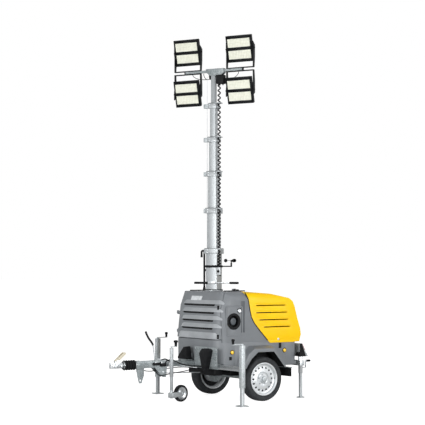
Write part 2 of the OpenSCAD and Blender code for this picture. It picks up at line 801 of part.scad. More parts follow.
// Section k of the mast: a square tube with a guide foot and, below the last, a collar
// whose ear guides the coiled cable.
module section(k) {
    top = mast_tops[k - 1];
    s = side(k);
    has_collar = k < sections;
    difference() {
        union() {
            square_bar(s, bottom(k), top);
            if (k > 1)
                square_bar(s + section_step - 2 * (mast_wall + slide_gap), bottom(k), bottom(k) + 60);
            if (has_collar) {
                square_bar(s + 2 * collar_lip, top - collar_h, top);
                block([cable_x - 36, cable_y - ring_d / 2 - 8, top - 12], [cable_x + 36, -s / 2, top]);
            }
        }
        square_bar(s - 2 * mast_wall, bottom(k) - 1, has_collar ? top - collar_h : top + 1);
        if (has_collar) {
            square_bar(side(k + 1) + 2 * slide_gap, top - collar_h - 1, top + 1);
            post(cable_x, cable_y, top - collar_h - 1, top + 1, ring_d);
        }
    }
}

module mast_section_1() {
    color("silver") placed() at_mast() {
        section(1);
        square_bar(section_1_side, mast_floor, mast_floor + 14);
        post(0, 0, rail_bottom + 5, mast_floor + 2, mast_pin_d);
        difference() {
            union() {
                post(0, 0, body_top - 45, body_top - 2, well_d - 2 * slide_gap);
                post(0, 0, body_top - 10, body_top + 5, well_d - 2 * slide_gap);
                post(0, 0, body_top + 5, body_top + 14, well_d + 6);
            }
            square_bar(section_1_side - 2, body_top - 50, body_top + 20);
        }
    }
}

module mast_section_2() { color("silver") placed() at_mast() section(2); }
module mast_section_3() { color("silver") placed() at_mast() section(3); }
module mast_section_4() { color("silver") placed() at_mast() section(4); }
module mast_section_5() { color("silver") placed() at_mast() section(5); }
module mast_section_6() { color("silver") placed() at_mast() section(6); }

turn_z = 1545;
turn_ends = [-404, 244];
grips = [[-404, -277], [43, 244]];

module turn_handle() {
    x = -section_1_side / 2 - 16;
    color("dimgray") placed() at_mast() {
        rod_y(x, turn_ends[0], turn_ends[1], turn_z, 18);
        for (g = grips) rod_y(x, g[0], g[1], turn_z, 31);
        block([-section_1_side / 2 - 20, -60, turn_z - 16], [-section_1_side / 2, 60, turn_z + 16]);
    }
}

hose_x = -60;
hose_y = section_1_side / 2 + collar_lip + 14;
hose_d = 26;
hose_bend = 20;
hose_top = 1955;

module mast_hose() {
    color("black") placed() at_mast() {
        post(hose_x, hose_y, body_top + 14, hose_top, hose_d);
        translate([hose_x, hose_y + hose_bend, hose_top]) rotate([90, 0, 90]) rotate_extrude(angle = 180)
            translate([hose_bend, 0]) circle(d = hose_d);
        post(hose_x, hose_y + 2 * hose_bend, 1885, hose_top, hose_d);
        block([hose_x - 16, section_1_side / 2, 1700], [hose_x + 16, hose_y - hose_d / 2 + 2, 1730]);
    }
}

arm_z = 1765;
rotor_x = -section_1_side / 2 - 14;
rotor_y = -300;
spin_d = 8;

module anemometer_arm() {
    s = section_1_side;
    color("dimgray") placed() at_mast() {
        difference() {
            square_bar(s + 16, arm_z - 15, arm_z + 15);
            square_bar(s, arm_z - 16, arm_z + 16);
            post(cable_x, cable_y, arm_z - 20, arm_z + 20, coil_d + 4);
        }
        block([rotor_x - 6, rotor_y, arm_z - 8], [rotor_x + 6, -s / 2, arm_z + 8]);
        post(rotor_x, rotor_y, arm_z - 8, arm_z + 50, 22);
        post(rotor_x, rotor_y, arm_z + 50, arm_z + 70, spin_d);
    }
}

module anemometer_rotor() {
    color("black") placed() at_mast() translate([rotor_x, rotor_y, arm_z + 72]) {
        difference() {
            translate([0, 0, -20]) cylinder(d = 20, h = 30);
            translate([0, 0, -21]) cylinder(d = spin_d + 2 * run_gap, h = 22);
        }
        for (i = [0 : 2]) rotate([0, 0, i * 120]) {
            rod_x(8, 58, 0, 4, 5);
            translate([74, 0, 4]) difference() {
                sphere(d = 42);
                translate([-25, 0, -25]) cube([50, 25, 50]);
            }
        }
    }
}

gusset_x = side(sections) / 2 + run_gap;
gusset_t = 6;
gusset_low = crossbar_z - 64;
cap_z = crossbar_z + 30;

module mast_head() {
    h = crossbar_side / 2;
    color("lightgray") placed() at_mast() {
        block([-h, -crossbar_l / 2, crossbar_low], [h, crossbar_l / 2, crossbar_z + h]);
        block([-gusset_x - gusset_t, -160, cap_z - gusset_t], [gusset_x + gusset_t, 105, cap_z]);
        block([-h, -40, crossbar_z], [h, 40, cap_z]);
        for (s = [near, far])
            translate([s * (gusset_x + gusset_t / 2) - gusset_t / 2, 0, 0]) rotate([90, 0, 90])
                linear_extrude(gusset_t)
                    polygon([[-160, cap_z], [105, cap_z], [105, crossbar_z - 13], [60, gusset_low + 14],
                             [42, gusset_low], [-112, gusset_low], [-160, crossbar_z - 30]]);
    }
}

box_low = 4215;

module junction_box() {
    color("black") placed() at_mast()
        block([cable_x - 25, cable_y - 70, box_low], [cable_x + 65, cable_y + 40, gusset_low]);
}

lamp_rows = [[1, -1], [1, 1], [-1, -1], [-1, 1]];
yoke_t = 12;
yoke_w = 36;
lamp_pin_d = 16;

module lamp_yokes() {
    h = crossbar_side / 2;
    inner = lamp_w / 2 + move_gap;
    color("dimgray") placed() at_mast() for (r = lamp_rows)
        translate([0, r[1] * lamp_y, crossbar_z]) mirror([0, 0, r[0] < 0 ? 1 : 0]) {
            block([-yoke_w / 2, -inner - yoke_t, h], [yoke_w / 2, inner + yoke_t, h + yoke_t]);
            for (s = [near, far]) {
                on_side(s) across(inner, inner + yoke_t)
                    polygon([[-yoke_w / 2, h], [yoke_w / 2, h], [yoke_w, lamp_offset - 120],
                             [yoke_w, lamp_offset + 40], [-28, lamp_offset + 84], [-28, lamp_offset - 24],
                             [-yoke_w / 2, lamp_offset - 60]]);
                on_side(s) rod_y(0, inner - 22, inner + 18, lamp_offset, lamp_pin_d);
            }
        }
}

lamp_frame = 42;
lamp_bar = 43;
lamp_side = 20;

// A lamp about its tilt axis, facing -X.
module lamp() {
    w = lamp_w;
    h = lamp_h;
    window = (h - 2 * lamp_frame - lamp_bar) / 2;
    difference() {
        block([-lamp_depth / 2, -w / 2, -h / 2], [lamp_depth / 2, w / 2, h / 2]);
        for (s = [near, far]) {
            on_side(s) rod_y(0, w / 2 - 20, w / 2 + 1, 0, lamp_pin_d + 2 * run_gap);
            block([-lamp_depth / 2 - 1, -w / 2 + lamp_side, s * (lamp_bar / 2 + window / 2) - window / 2],
                  [-lamp_depth / 2 + 8, w / 2 - lamp_side, s * (lamp_bar / 2 + window / 2) + window / 2]);
        }
    }
}

module at_lamp(i) at_mast()
    translate([0, lamp_rows[i][1] * lamp_y, crossbar_z + lamp_rows[i][0] * lamp_offset])
        rotate([0, -lamp_tilt, 0]) children();

module lamp_1() { color("darkslategray") placed() at_lamp(0) lamp(); }
module lamp_2() { color("darkslategray") placed() at_lamp(1) lamp(); }
module lamp_3() { color("darkslategray") placed() at_lamp(2) lamp(); }
module lamp_4() { color("darkslategray") placed() at_lamp(3) lamp(); }

// ---- Coiled cable, one length between each pair of guides ----
cable_low = 1640;

module coil(z0, z1) { color("black") placed() at_mast() post(cable_x, cable_y, z0, z1, coil_d); }

module coiled_cable_0() { coil(cable_low, mast_tops[0] - 6); }
module coiled_cable_1() { coil(mast_tops[0] - 6, mast_tops[1] - 6); }
module coiled_cable_2() { coil(mast_tops[1] - 6, mast_tops[2] - 6); }
module coiled_cable_3() { coil(mast_tops[2] - 6, mast_tops[3] - 6); }
module coiled_cable_4() { coil(mast_tops[3] - 6, mast_tops[4] - 6); }
module coiled_cable_5() { coil(mast_tops[4] - 6, box_low); }

chassis_frame();
drawbar_beam();
overrun_housing();
coupling_head();
coupling_handle();
bellows();
handbrake_lever();
jockey_tube();
jockey_stem();
jockey_fork();
jockey_wheel();
axle();
rim_near();
tyre_near();
rim_far();
tyre_far();
base_tub();
fenders();
front_housing();
front_door();
door_latches();
hood();
hood_latches();
power_unit();
fuel_filler();
marker_lamps();
light_board();
tail_lamps();
mud_flaps();
chocks();
outrigger_near();
outrigger_far();
jack_leg_near();
jack_leg_far();
rear_jack_tubes();
rear_leg_near();
rear_leg_far();
mast_section_1();
mast_section_2();
mast_section_3();
mast_section_4();
mast_section_5();
mast_section_6();
turn_handle();
mast_hose();
anemometer_arm();
anemometer_rotor();
mast_head();
junction_box();
lamp_yokes();
lamp_1();
lamp_2();
lamp_3();
lamp_4();
coiled_cable_0();
coiled_cable_1();
coiled_cable_2();
coiled_cable_3();
coiled_cable_4();
coiled_cable_5();
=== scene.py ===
# Mobile light tower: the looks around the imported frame. X runs from the coupling to the tail, Z is up.
# Sizes and places are written in millimetres and the makers turn them to metres. The camera, the lamps, the floor
# and the inputs of the Geometry Nodes trees are in metres.
import json
import math

import bmesh
import bpy
from mathutils import Matrix, Vector


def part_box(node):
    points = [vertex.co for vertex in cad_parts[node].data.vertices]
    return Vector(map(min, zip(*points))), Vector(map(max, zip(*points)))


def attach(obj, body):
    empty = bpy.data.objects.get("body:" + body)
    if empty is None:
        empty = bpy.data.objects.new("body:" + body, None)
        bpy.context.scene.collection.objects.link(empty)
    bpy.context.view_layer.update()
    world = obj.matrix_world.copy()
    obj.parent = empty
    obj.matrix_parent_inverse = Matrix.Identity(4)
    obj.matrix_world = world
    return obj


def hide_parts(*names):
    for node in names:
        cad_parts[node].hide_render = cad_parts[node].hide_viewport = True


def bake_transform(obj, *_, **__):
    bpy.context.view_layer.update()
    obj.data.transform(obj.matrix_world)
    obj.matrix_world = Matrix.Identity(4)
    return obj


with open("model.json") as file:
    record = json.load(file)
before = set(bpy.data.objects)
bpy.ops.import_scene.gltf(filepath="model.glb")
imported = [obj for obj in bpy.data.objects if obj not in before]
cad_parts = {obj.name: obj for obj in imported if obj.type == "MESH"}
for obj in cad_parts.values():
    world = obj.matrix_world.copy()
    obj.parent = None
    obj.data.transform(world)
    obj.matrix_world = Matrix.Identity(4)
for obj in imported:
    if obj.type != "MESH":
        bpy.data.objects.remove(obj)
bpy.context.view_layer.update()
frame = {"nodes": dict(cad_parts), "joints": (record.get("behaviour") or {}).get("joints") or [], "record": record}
record = frame["record"]
joints = {joint["name"]: joint for joint in frame["joints"]}
nodeSlot = {part["node"]: part["material_slot"] for part in record["subparts"]}
nodeBody = {node: body for body, nodes in record["behaviour"]["bodies"].items() for node in nodes}
sides = (-1, 1)                                          # near side first

# The trailer is measured from the wheel axle, the mast from its own turning axis
axleLow, axleHigh = map(Vector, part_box("axle"))
axleX = (axleLow + axleHigh).x / 2
mastSpot = Vector(joints["mast_turn"]["pos_m"])
tiltAxis = Vector(joints["lamp_1_tilt"]["axis"])
mastAngle = math.atan2(tiltAxis.x, -tiltAxis.y)
mastFrame = Matrix.Translation((mastSpot.x, mastSpot.y, 0)) @ Matrix.Rotation(mastAngle, 4, "Z")
mastTurn = mastFrame.to_3x3()


def at(x, y, z):
    return Vector((axleX + x / 1000, y / 1000, z / 1000))


def fromAxle(spot):
    return Vector(((spot.x - axleX) * 1000, spot.y * 1000, spot.z * 1000))


def within(place):
    return lambda x, y, z: place @ Vector((x / 1000, y / 1000, z / 1000))


onMast = within(mastFrame)


def onCircle(radius, degrees):
    return radius * math.cos(math.radians(degrees)), radius * math.sin(math.radians(degrees))


def linear(code):
    channels = [int(code[i:i + 2], 16) / 255 for i in (1, 3, 5)]
    return tuple(c / 12.92 if c <= 0.04045 else ((c + 0.055) / 1.055) ** 2.4 for c in channels) + (1.0,)


# Adds a node: a node or socket among the values is linked, any other value is set
def addNode(tree, kind, values=()):
    node = tree.nodes.new(kind)
    for name, value in dict(values).items():
        if isinstance(value, bpy.types.Node):
            value = value.outputs[0]
        if isinstance(value, bpy.types.NodeSocket):
            tree.links.new(value, node.inputs[name])
        elif isinstance(name, int) or name in node.inputs:
            node.inputs[name].default_value = value
        else:
            setattr(node, name, value)
    return node


def emptyTree(owner):
    owner.use_nodes = True
    owner.node_tree.nodes.clear()
    return owner.node_tree


def linked(name, data):
    thing = bpy.data.objects.new(name, data)
    bpy.context.collection.objects.link(thing)
    return thing


view = {"spot": (-9.240, -13.706, 1.706), "heading": 34.450, "rise": 2.694, "lens": 104.920}
light = {
    "aim": (-400, 0, 1600),                              # millimetres from the axle
    "key": {"from": (-9.5, -4.6, 2.8), "size": 4.0, "power": 590},
    "fill": {"from": (2.0, -9.0, 2.4), "size": 5.0, "power": 410},
    "back": {"from": (4.0, 8.0, 7.0), "size": 5.0, "power": 160},
}
sky = {"horizon": 0.80, "zenith": 0.10, "zenithAt": 0.8}
studioFloor = {"size": 400, "height": -0.001, "paint": "#E4E4E4", "glow": 0.86}


def placeCamera():
    camera = linked("camera", bpy.data.cameras.new("camera"))
    camera.location = view["spot"]
    camera.rotation_euler = (math.radians(90 + view["rise"]), 0, -math.radians(view["heading"]))
    camera.data.lens = view["lens"]
    bpy.context.scene.camera = camera


def placeLights():
    for name in ("key", "fill", "back"):
        lamp = linked(name, bpy.data.lights.new(name, "AREA"))
        lamp.data.energy = light[name]["power"]
        lamp.data.size = light[name]["size"]
        lamp.location = light[name]["from"]
        lamp.rotation_euler = (at(*light["aim"]) - lamp.location).to_track_quat("-Z", "Y").to_euler()


# White to the camera and in mirrors; dimmer overhead for the light that falls on the object
def whiteWorld():
    world = bpy.data.worlds.new("studio")
    bpy.context.scene.world = world
    tree = emptyTree(world)
    path = addNode(tree, "ShaderNodeLightPath").outputs
    mirrored = addNode(tree, "ShaderNodeMath", {"operation": "MAXIMUM", 0: path["Is Glossy Ray"],
                                                1: path["Is Transmission Ray"]})
    seen = addNode(tree, "ShaderNodeMath", {"operation": "MAXIMUM", 0: path["Is Camera Ray"], 1: mirrored})
    aim = addNode(tree, "ShaderNodeTexCoord").outputs["Generated"]
    height = addNode(tree, "ShaderNodeSeparateXYZ", {0: aim}).outputs[2]
    level = addNode(tree, "ShaderNodeMapRange", {"From Max": sky["zenithAt"], "To Min": sky["horizon"],
                                                 "To Max": sky["zenith"], "Value": height})
    ambient = addNode(tree, "ShaderNodeBackground", {"Color": linear("#FFFFFF"), "Strength": level})
    backdrop = addNode(tree, "ShaderNodeBackground", {"Color": linear("#FFFFFF"), "Strength": 1.0})
    both = addNode(tree, "ShaderNodeMixShader", {0: seen, 1: ambient, 2: backdrop})
    addNode(tree, "ShaderNodeOutputWorld", {0: both})


def paleFloor():
    bpy.ops.mesh.primitive_plane_add(size=studioFloor["size"], location=(0, 0, studioFloor["height"]))
    floor = bpy.context.object
    floor.name = "floor"
    material = bpy.data.materials.new("white studio floor")
    tree = emptyTree(material)
    path = addNode(tree, "ShaderNodeLightPath").outputs
    paint = addNode(tree, "ShaderNodeBsdfDiffuse", {"Color": linear(studioFloor["paint"])})
    glow = addNode(tree, "ShaderNodeEmission", {"Color": linear("#FFFFFF"), "Strength": studioFloor["glow"]})
    lifted = addNode(tree, "ShaderNodeAddShader", {0: paint, 1: glow})
    both = addNode(tree, "ShaderNodeMixShader", {0: path["Is Camera Ray"], 1: paint, 2: lifted})
    addNode(tree, "ShaderNodeOutputMaterial", {0: both})
    floor.data.materials.append(material)


placeCamera()
placeLights()
whiteWorld()
paleFloor()
bpy.context.scene.view_settings.view_transform = "Standard"
print("studio: camera, three lamps, pale floor")

# What all finishes share: where the two shades part, how strongly the grain lifts, and the gloss of a clear coat
sharedFinish = {"shades": (0.32, 0.68), "detail": (("patch", 3.0), ("grain", 4.0)), "lift": 0.3, "coatRough": 0.1,
                "spangleShare": 0.5}


# A finish in two shades that drift over patches, with a fine grain that moves the gloss and lifts the surface
def surface(name, look):
    material = bpy.data.materials.new(name)
    tree = emptyTree(material)
    shader = addNode(tree, "ShaderNodeBsdfPrincipled", {"Coat Roughness": sharedFinish["coatRough"]})
    addNode(tree, "ShaderNodeOutputMaterial", {0: shader})
    spot = addNode(tree, "ShaderNodeTexCoord").outputs["Object"]
    if "stretch" in look:
        spot = addNode(tree, "ShaderNodeMapping", {"Scale": look["stretch"], 0: spot})
    shade, grain = [addNode(tree, "ShaderNodeTexNoise", {
        "Scale": 1000 / look[size], "Detail": detail, "Vector": spot}) for size, detail in sharedFinish["detail"]]
    if "spangle" in look:
        share = sharedFinish["spangleShare"]
        crystals = addNode(tree, "ShaderNodeTexVoronoi", {"Scale": 1000 / look["spangle"], "Vector": spot})
        grey = addNode(tree, "ShaderNodeRGBToBW", {0: crystals.outputs["Color"]})
        rest = addNode(tree, "ShaderNodeMath", {"operation": "MULTIPLY", 0: shade, 1: 1 - share})
        shade = addNode(tree, "ShaderNodeMath", {"operation": "MULTIPLY_ADD", 0: grey, 1: share, 2: rest})
    colour = addNode(tree, "ShaderNodeValToRGB", {0: shade})
    for stop, place, tone in zip(colour.color_ramp.elements, sharedFinish["shades"], ("dark", "light")):
        stop.position = place
        stop.color = linear(look[tone])
    tree.links.new(colour.outputs[0], shader.inputs["Base Color"])
    gloss = addNode(tree, "ShaderNodeMapRange", {"To Min": look["rough"][0], "To Max": look["rough"][1],
                                                 "Value": grain})
    tree.links.new(gloss.outputs[0], shader.inputs["Roughness"])
    bump = addNode(tree, "ShaderNodeBump", {"Strength": sharedFinish["lift"], "Distance": look["relief"] / 1000,
                                            "Height": grain})
    tree.links.new(bump.outputs[0], shader.inputs["Normal"])
    for key, socket in (("metal", "Metallic"), ("coat", "Coat Weight"), ("shine", "Specular IOR Level"),
                        ("ior", "IOR")):
        if key in look:
            shader.inputs[socket].default_value = look[key]
    return material


# Hot-dip galvanised steel: pale zinc with crystals about 10 mm across, dull rather than shiny
galvanisedSteel = surface("galvanised steel", {
    "light": "#CBD0D2", "dark": "#A4ABAE", "patch": 120, "grain": 4, "spangle": 11,
    "rough": (0.42, 0.6), "relief": 0.4, "metal": 0.5})
# The same zinc after some years outdoors: duller, with a grey-green bloom that keeps only broad highlights
weatheredSteel = surface("weathered galvanised steel", {
    "light": "#A9B0B2", "dark": "#7E8688", "patch": 90, "grain": 4, "spangle": 11,
    "rough": (0.5, 0.68), "relief": 0.5, "metal": 0.4})
# Drawn steel tube, galvanised smooth: brighter and finer than the dipped frame, with faint lines along its length
mastSteel = surface("galvanised mast tube", {
    "light": "#B2B6B8", "dark": "#9DA2A5", "patch": 200, "grain": 3, "stretch": (1, 1, 0.08),
    "rough": (0.36, 0.5), "relief": 0.2, "metal": 0.4})
# Zinc-plated steel: bright, slightly blue and smooth
platedSteel = surface("zinc plated steel", {
    "light": "#E3E6E8", "dark": "#C6CBCE", "patch": 50, "grain": 2,
    "rough": (0.22, 0.36), "relief": 0.1, "metal": 0.8})
# Rotationally moulded polyethylene, through-coloured grey: a soft low gloss with a fine orange peel
greyMoulding = surface("grey moulded polyethylene", {
    "light": "#7F8387", "dark": "#74787C", "patch": 350, "grain": 3.5,
    "rough": (0.42, 0.56), "relief": 0.5, "ior": 1.51, "shine": 0.4})
# The same plastic in a darker grey: painted shade for the strips between the side panels and the hood
paintedShadeMoulding = surface("painted shade grey polyethylene", {
    "light": "#5C6064", "dark": "#54585C", "patch": 200, "grain": 3.5,
    "rough": (0.45, 0.6), "relief": 0.5, "ior": 1.51, "shine": 0.3})
# The same moulding in a paler grey with a matt skin: a painted highlight for the lips that face up to the light
paintedHighlightMoulding = surface("painted highlight grey polyethylene", {
    "light": "#B0B4B8", "dark": "#9EA2A6", "patch": 200, "grain": 3.5,
    "rough": (0.5, 0.64), "relief": 0.5, "ior": 1.51, "shine": 0.35})
# Thermoformed ABS, yellow with a satin gloss: even colour, clean highlights along the edges
yellowMoulding = surface("yellow moulded ABS", {
    "light": "#FFD200", "dark": "#FEC800", "patch": 400, "grain": 4,
    "rough": (0.3, 0.42), "relief": 0.3, "ior": 1.5, "shine": 0.3})
# Black powder coat on steel: deep, slightly pebbled, medium gloss
blackCoat = surface("black powder coat", {
    "light": "#191B1E", "dark": "#101214", "patch": 80, "grain": 2.5,
    "rough": (0.38, 0.55), "relief": 0.4, "shine": 0.12})
# Glass-filled nylon, moulded black: dull with a fine spark-eroded texture
blackMoulding = surface("black moulded nylon", {
    "light": "#18191B", "dark": "#0F1012", "patch": 50, "grain": 1.5,
    "rough": (0.45, 0.62), "relief": 0.3, "shine": 0.15})
# Moulded EPDM rubber: black with a dry bloom, no sharp highlights
blackRubber = surface("black moulded rubber", {
    "light": "#1E1F21", "dark": "#131416", "patch": 40, "grain": 2,
    "rough": (0.62, 0.78), "relief": 0.4, "shine": 0.15})
# Vulcanised tyre rubber: charcoal and matt, in two close shades as if a little dusty
tyreRubber = surface("vulcanised tyre rubber", {
    "light": "#3B3D40", "dark": "#2A2C2E", "patch": 60, "grain": 2,
    "rough": (0.66, 0.82), "relief": 0.5, "shine": 0.3})
# Pressed steel wheel in silver enamel: even, satin, fine metallic flake
silverEnamel = surface("silver wheel enamel", {
    "light": "#E4E7E9", "dark": "#D5D9DC", "patch": 80, "grain": 1.2,
    "rough": (0.3, 0.42), "relief": 0.1, "metal": 0.45, "coat": 0.25})
# Polypropylene grip in a warm cream
creamGrip = surface("cream polypropylene", {
    "light": "#D9D2BE", "dark": "#CBC2AA", "patch": 30, "grain": 1.5,
    "rough": (0.4, 0.5), "relief": 0.2})
# Engine enamel: dark grey brushed over a casting
engineEnamel = surface("dark engine enamel", {
    "light": "#4A5056", "dark": "#3A4045", "patch": 60, "grain": 3,
    "rough": (0.35, 0.5), "relief": 0.6})
# Cast aluminium under black powder coat: the grain of the casting shows through as soft pebbling
lampCasting = surface("black cast aluminium", {
    "light": "#15171A", "dark": "#0C0E10", "patch": 60, "grain": 3,
    "rough": (0.4, 0.55), "relief": 0.5, "shine": 0.1})
# Moulded polycarbonate optics over white boards: pale cream and glassy
ledOptics = surface("cream polycarbonate optics", {
    "light": "#F0F1E3", "dark": "#E7E8D8", "patch": 30, "grain": 4,
    "rough": (0.12, 0.22), "relief": 0.1, "ior": 1.58, "coat": 0.3})
# Injection-moulded acrylic lenses: clear bright colour under a hard gloss
lensShared = {"patch": 30, "grain": 3, "rough": (0.12, 0.2), "relief": 0.2, "ior": 1.49, "coat": 0.4}
amberLens = surface("amber moulded acrylic", {"light": "#FFD84A", "dark": "#FFCB28", **lensShared})
redLens = surface("red moulded acrylic", {"light": "#B31217", "dark": "#9C0D12", **lensShared})
slotLooks = {
    "galvanised": galvanisedSteel, "mast_metal": mastSteel, "bright_steel": platedSteel, "grey_shell": greyMoulding,
    "yellow_shell": yellowMoulding, "black_paint": blackCoat, "black_plastic": blackMoulding,
    "black_rubber": blackRubber, "tyre_rubber": tyreRubber, "wheel_rim": silverEnamel, "handle_cream": creamGrip,
    "power_unit_paint": engineEnamel, "lamp_housing": lampCasting, "amber_lens": amberLens,
    "red_lens": redLens,
}
print("materials:", len(bpy.data.materials))


def smoothByAngle(mesh, degrees):
    mesh.shade_smooth()
    mesh.set_sharp_from_angle(angle=math.radians(degrees))


# Bakes an object's modifiers into its mesh
def bake(piece):
    bpy.context.view_layer.update()
    graph = bpy.context.evaluated_depsgraph_get()
    mesh = bpy.data.meshes.new_from_object(piece.evaluated_get(graph), depsgraph=graph)
    piece.modifiers.clear()
    piece.data = mesh


def rounded(piece, width, segments, degrees=32):
    bevel = piece.modifiers.new("rounded", "BEVEL")
    bevel.width = width / 1000
    bevel.segments = segments
    bevel.limit_method = "ANGLE"
    bevel.angle_limit = math.radians(degrees)
    bake(piece)


def handedOver(piece, body, nodes):
    if body:
        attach(piece, body)
    if nodes:
        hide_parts(*nodes)
    return piece


cleaning = {"doubles": 0.00002, "flat": 1}                # metres and degrees


# A copy of a CAD part with its loose triangles merged; mark may set edge weights before it becomes a mesh
def merged(node, look, mark=None):
    mesh = frame["nodes"][node].data.copy()
    mesh.materials.clear()
    mesh.materials.append(look)
    bm = bmesh.new()
    bm.from_mesh(mesh)
    bmesh.ops.remove_doubles(bm, verts=bm.verts, dist=cleaning["doubles"])
    bmesh.ops.dissolve_limit(bm, angle_limit=math.radians(cleaning["flat"]), verts=bm.verts, edges=bm.edges)
    if mark:
        mark(bm)
    bm.to_mesh(mesh)
    bm.free()
    return linked(node + "_skin", mesh)


# A CAD part with its hard edges rounded; second is a material and a test for the faces that wear it
def softened(node, width=2, segments=2, look=None, second=None):
    piece = merged(node, look or slotLooks[nodeSlot[node]])
    rounded(piece, width, segments)
    if second:
        piece.data.materials.append(second[0])
        for face in piece.data.polygons:
            face.material_index = int(second[1](fromAxle(face.center), face.normal))
    smoothByAngle(piece.data, 38)
    handedOver(piece, nodeBody[node], [node])


# One mesh from several shapes, each a call that adds itself to the same bmesh
def built(name, slotName, shapes, body="trailer", look=None, nodes=(), angle=38, width=0):
    bm = bmesh.new()
    for shape in shapes:
        shape(bm)
    bmesh.ops.recalc_face_normals(bm, faces=bm.faces)
    mesh = bpy.data.meshes.new(name)
    bm.to_mesh(mesh)
    bm.free()
    piece = linked(name, mesh)
    mesh.materials.append(look or slotLooks[slotName])
    if width:
        rounded(piece, width, 2)
    smoothByAngle(piece.data, angle)
    return handedOver(piece, body, nodes)


# A closed solid over rings of points, where a ring of one point is a pole; looped joins the last ring to the first
def strung(rings, looped=False):
    def add(bm):
        loops = [[bm.verts.new(spot) for spot in ring] for ring in rings]
        for low, high in zip(loops, loops[1:] + (loops[:1] if looped else [])):
            for i in range(max(len(low), len(high))):
                j = i + 1
                corners = dict.fromkeys((low[i % len(low)], low[j % len(low)], high[j % len(high)],
                                         high[i % len(high)]))
                if len(corners) > 2:
                    bm.faces.new(list(corners))
        for end in () if looped else (loops[0], loops[-1]):
            if len(end) > 2:
                bm.faces.new(end)
    return add


def axisFrame(spot, direction):
    return Matrix.Translation(spot) @ Vector(direction).normalized().to_track_quat("Z", "Y").to_matrix().to_4x4()


# A turned shape: pairs of radius and height along an axis
def turned(spot, direction, profile, count=32, looped=False):
    place = within(axisFrame(spot, direction))
    return strung([[place(*onCircle(radius, 360 * i / count), height) for i in range(count if radius else 1)]
                   for radius, height in profile], looped)


# A box given by two corners and the frame they are measured in
def boxed(low, high, place=at):
    def add(bm):
        verts = [bm.verts.new(place(x, y, z)) for x in (low[0], high[0]) for y in (low[1], high[1])
                 for z in (low[2], high[2])]
        for face in ((0, 1, 3, 2), (4, 6, 7, 5), (0, 4, 5, 1), (2, 3, 7, 6), (0, 2, 6, 4), (1, 5, 7, 3)):
            bm.faces.new([verts[i] for i in face])
    return add


def smoothLine(points, steps):
    if len(points) < 3 or steps < 2:
        return points
    line = []
    padded = [2 * points[0] - points[1]] + points + [2 * points[-1] - points[-2]]
    for a, b, c, d in zip(padded, padded[1:], padded[2:], padded[3:]):
        for k in range(steps):
            t = k / steps
            line.append(0.5 * (2 * b + (c - a) * t + (2 * a - 5 * b + 4 * c - d) * t * t
                               + (3 * b - a - 3 * c + d) * t ** 3))
    return line + [points[-1]]


# A round rod along a smooth line through given points
def rod(points, radius, count=10, steps=6, place=at):
    path = smoothLine([place(*spot) for spot in points], steps)
    side, rings = None, []
    for i, spot in enumerate(path):
        ahead = (path[min(i + 1, len(path) - 1)] - path[max(i - 1, 0)]).normalized()
        side = ahead.orthogonal().normalized() if side is None else side
        side = (side - ahead * side.dot(ahead)).normalized()
        other = ahead.cross(side)
        rings.append([spot + (across * side + up * other) / 1000
                      for across, up in (onCircle(radius, 360 * k / count) for k in range(count))])
    return strung(rings)


# Geometry Nodes: a tree's inputs are named with their first values, and None stands for a geometry
socketKinds = {int: "NodeSocketInt", float: "NodeSocketFloat", tuple: "NodeSocketVector",
               type(None): "NodeSocketGeometry"}


def openTree(name, inputs):
    tree = bpy.data.node_groups.new(name, "GeometryNodeTree")
    for label, value in inputs.items():
        socket = tree.interface.new_socket(label, in_out="INPUT", socket_type=socketKinds[type(value)])
        if value is not None:
            socket.default_value = value
    tree.interface.new_socket("Geometry", in_out="OUTPUT", socket_type="NodeSocketGeometry")
    return tree, addNode(tree, "NodeGroupInput").outputs


def closeTree(tree, item, look):
    real = addNode(tree, "GeometryNodeRealizeInstances", {0: item})
    dressed = addNode(tree, "GeometryNodeSetMaterial", {"Material": look, "Geometry": real})
    addNode(tree, "NodeGroupOutput", {0: dressed})
    return tree


def identifier(tree, label):
    return next(item.identifier for item in tree.interface.items_tree
                if item.item_type == "SOCKET" and item.in_out == "INPUT" and item.name == label)


# Runs a tree on a mesh and keeps the result as a plain piece
def grown(name, tree, body, values=(), mesh=None, place=None, nodes=(), angle=38):
    piece = linked(name, mesh or bpy.data.meshes.new(name))
    modifier = piece.modifiers.new(name, "NODES")
    modifier.node_group = tree
    for label, value in dict(values).items():
        modifier[identifier(tree, label)] = value
    bake(piece)
    if place:
        piece.data.transform(place)
    smoothByAngle(piece.data, angle)
    return handedOver(piece, body, nodes)


# A tree that stands one small shape on each point, its top along the point's stored direction
def pointTree(name, look, shape):
    tree, given = openTree(name, {"Geometry": None})
    item = shape(tree)
    facing = addNode(tree, "GeometryNodeInputNamedAttribute", {"data_type": "FLOAT_VECTOR", "Name": "facing"})
    turn = addNode(tree, "FunctionNodeAlignRotationToVector", {"axis": "Z", "Vector": facing})
    placed = addNode(tree, "GeometryNodeInstanceOnPoints", {"Points": given[0], "Instance": item, "Rotation": turn})
    return closeTree(tree, placed, look)


# A mesh of single points, each with the direction it faces
def pointCloud(name, spots, place, turn):
    mesh = bpy.data.meshes.new(name)
    mesh.from_pydata([tuple(place(*spot)) for spot, facing in spots], [], [])
    stored = mesh.attributes.new("facing", "FLOAT_VECTOR", "POINT")
    for point, (spot, facing) in zip(stored.data, spots):
        point.vector = (turn @ Vector(facing)).normalized()
    return mesh


# A hexagon head on a round washer: sides, then radius, height and lift as shares of the size across flats
boltShape = {"head": (6, 0.577, 0.42, 0.31), "washer": (20, 0.82, 0.16, 0.05)}


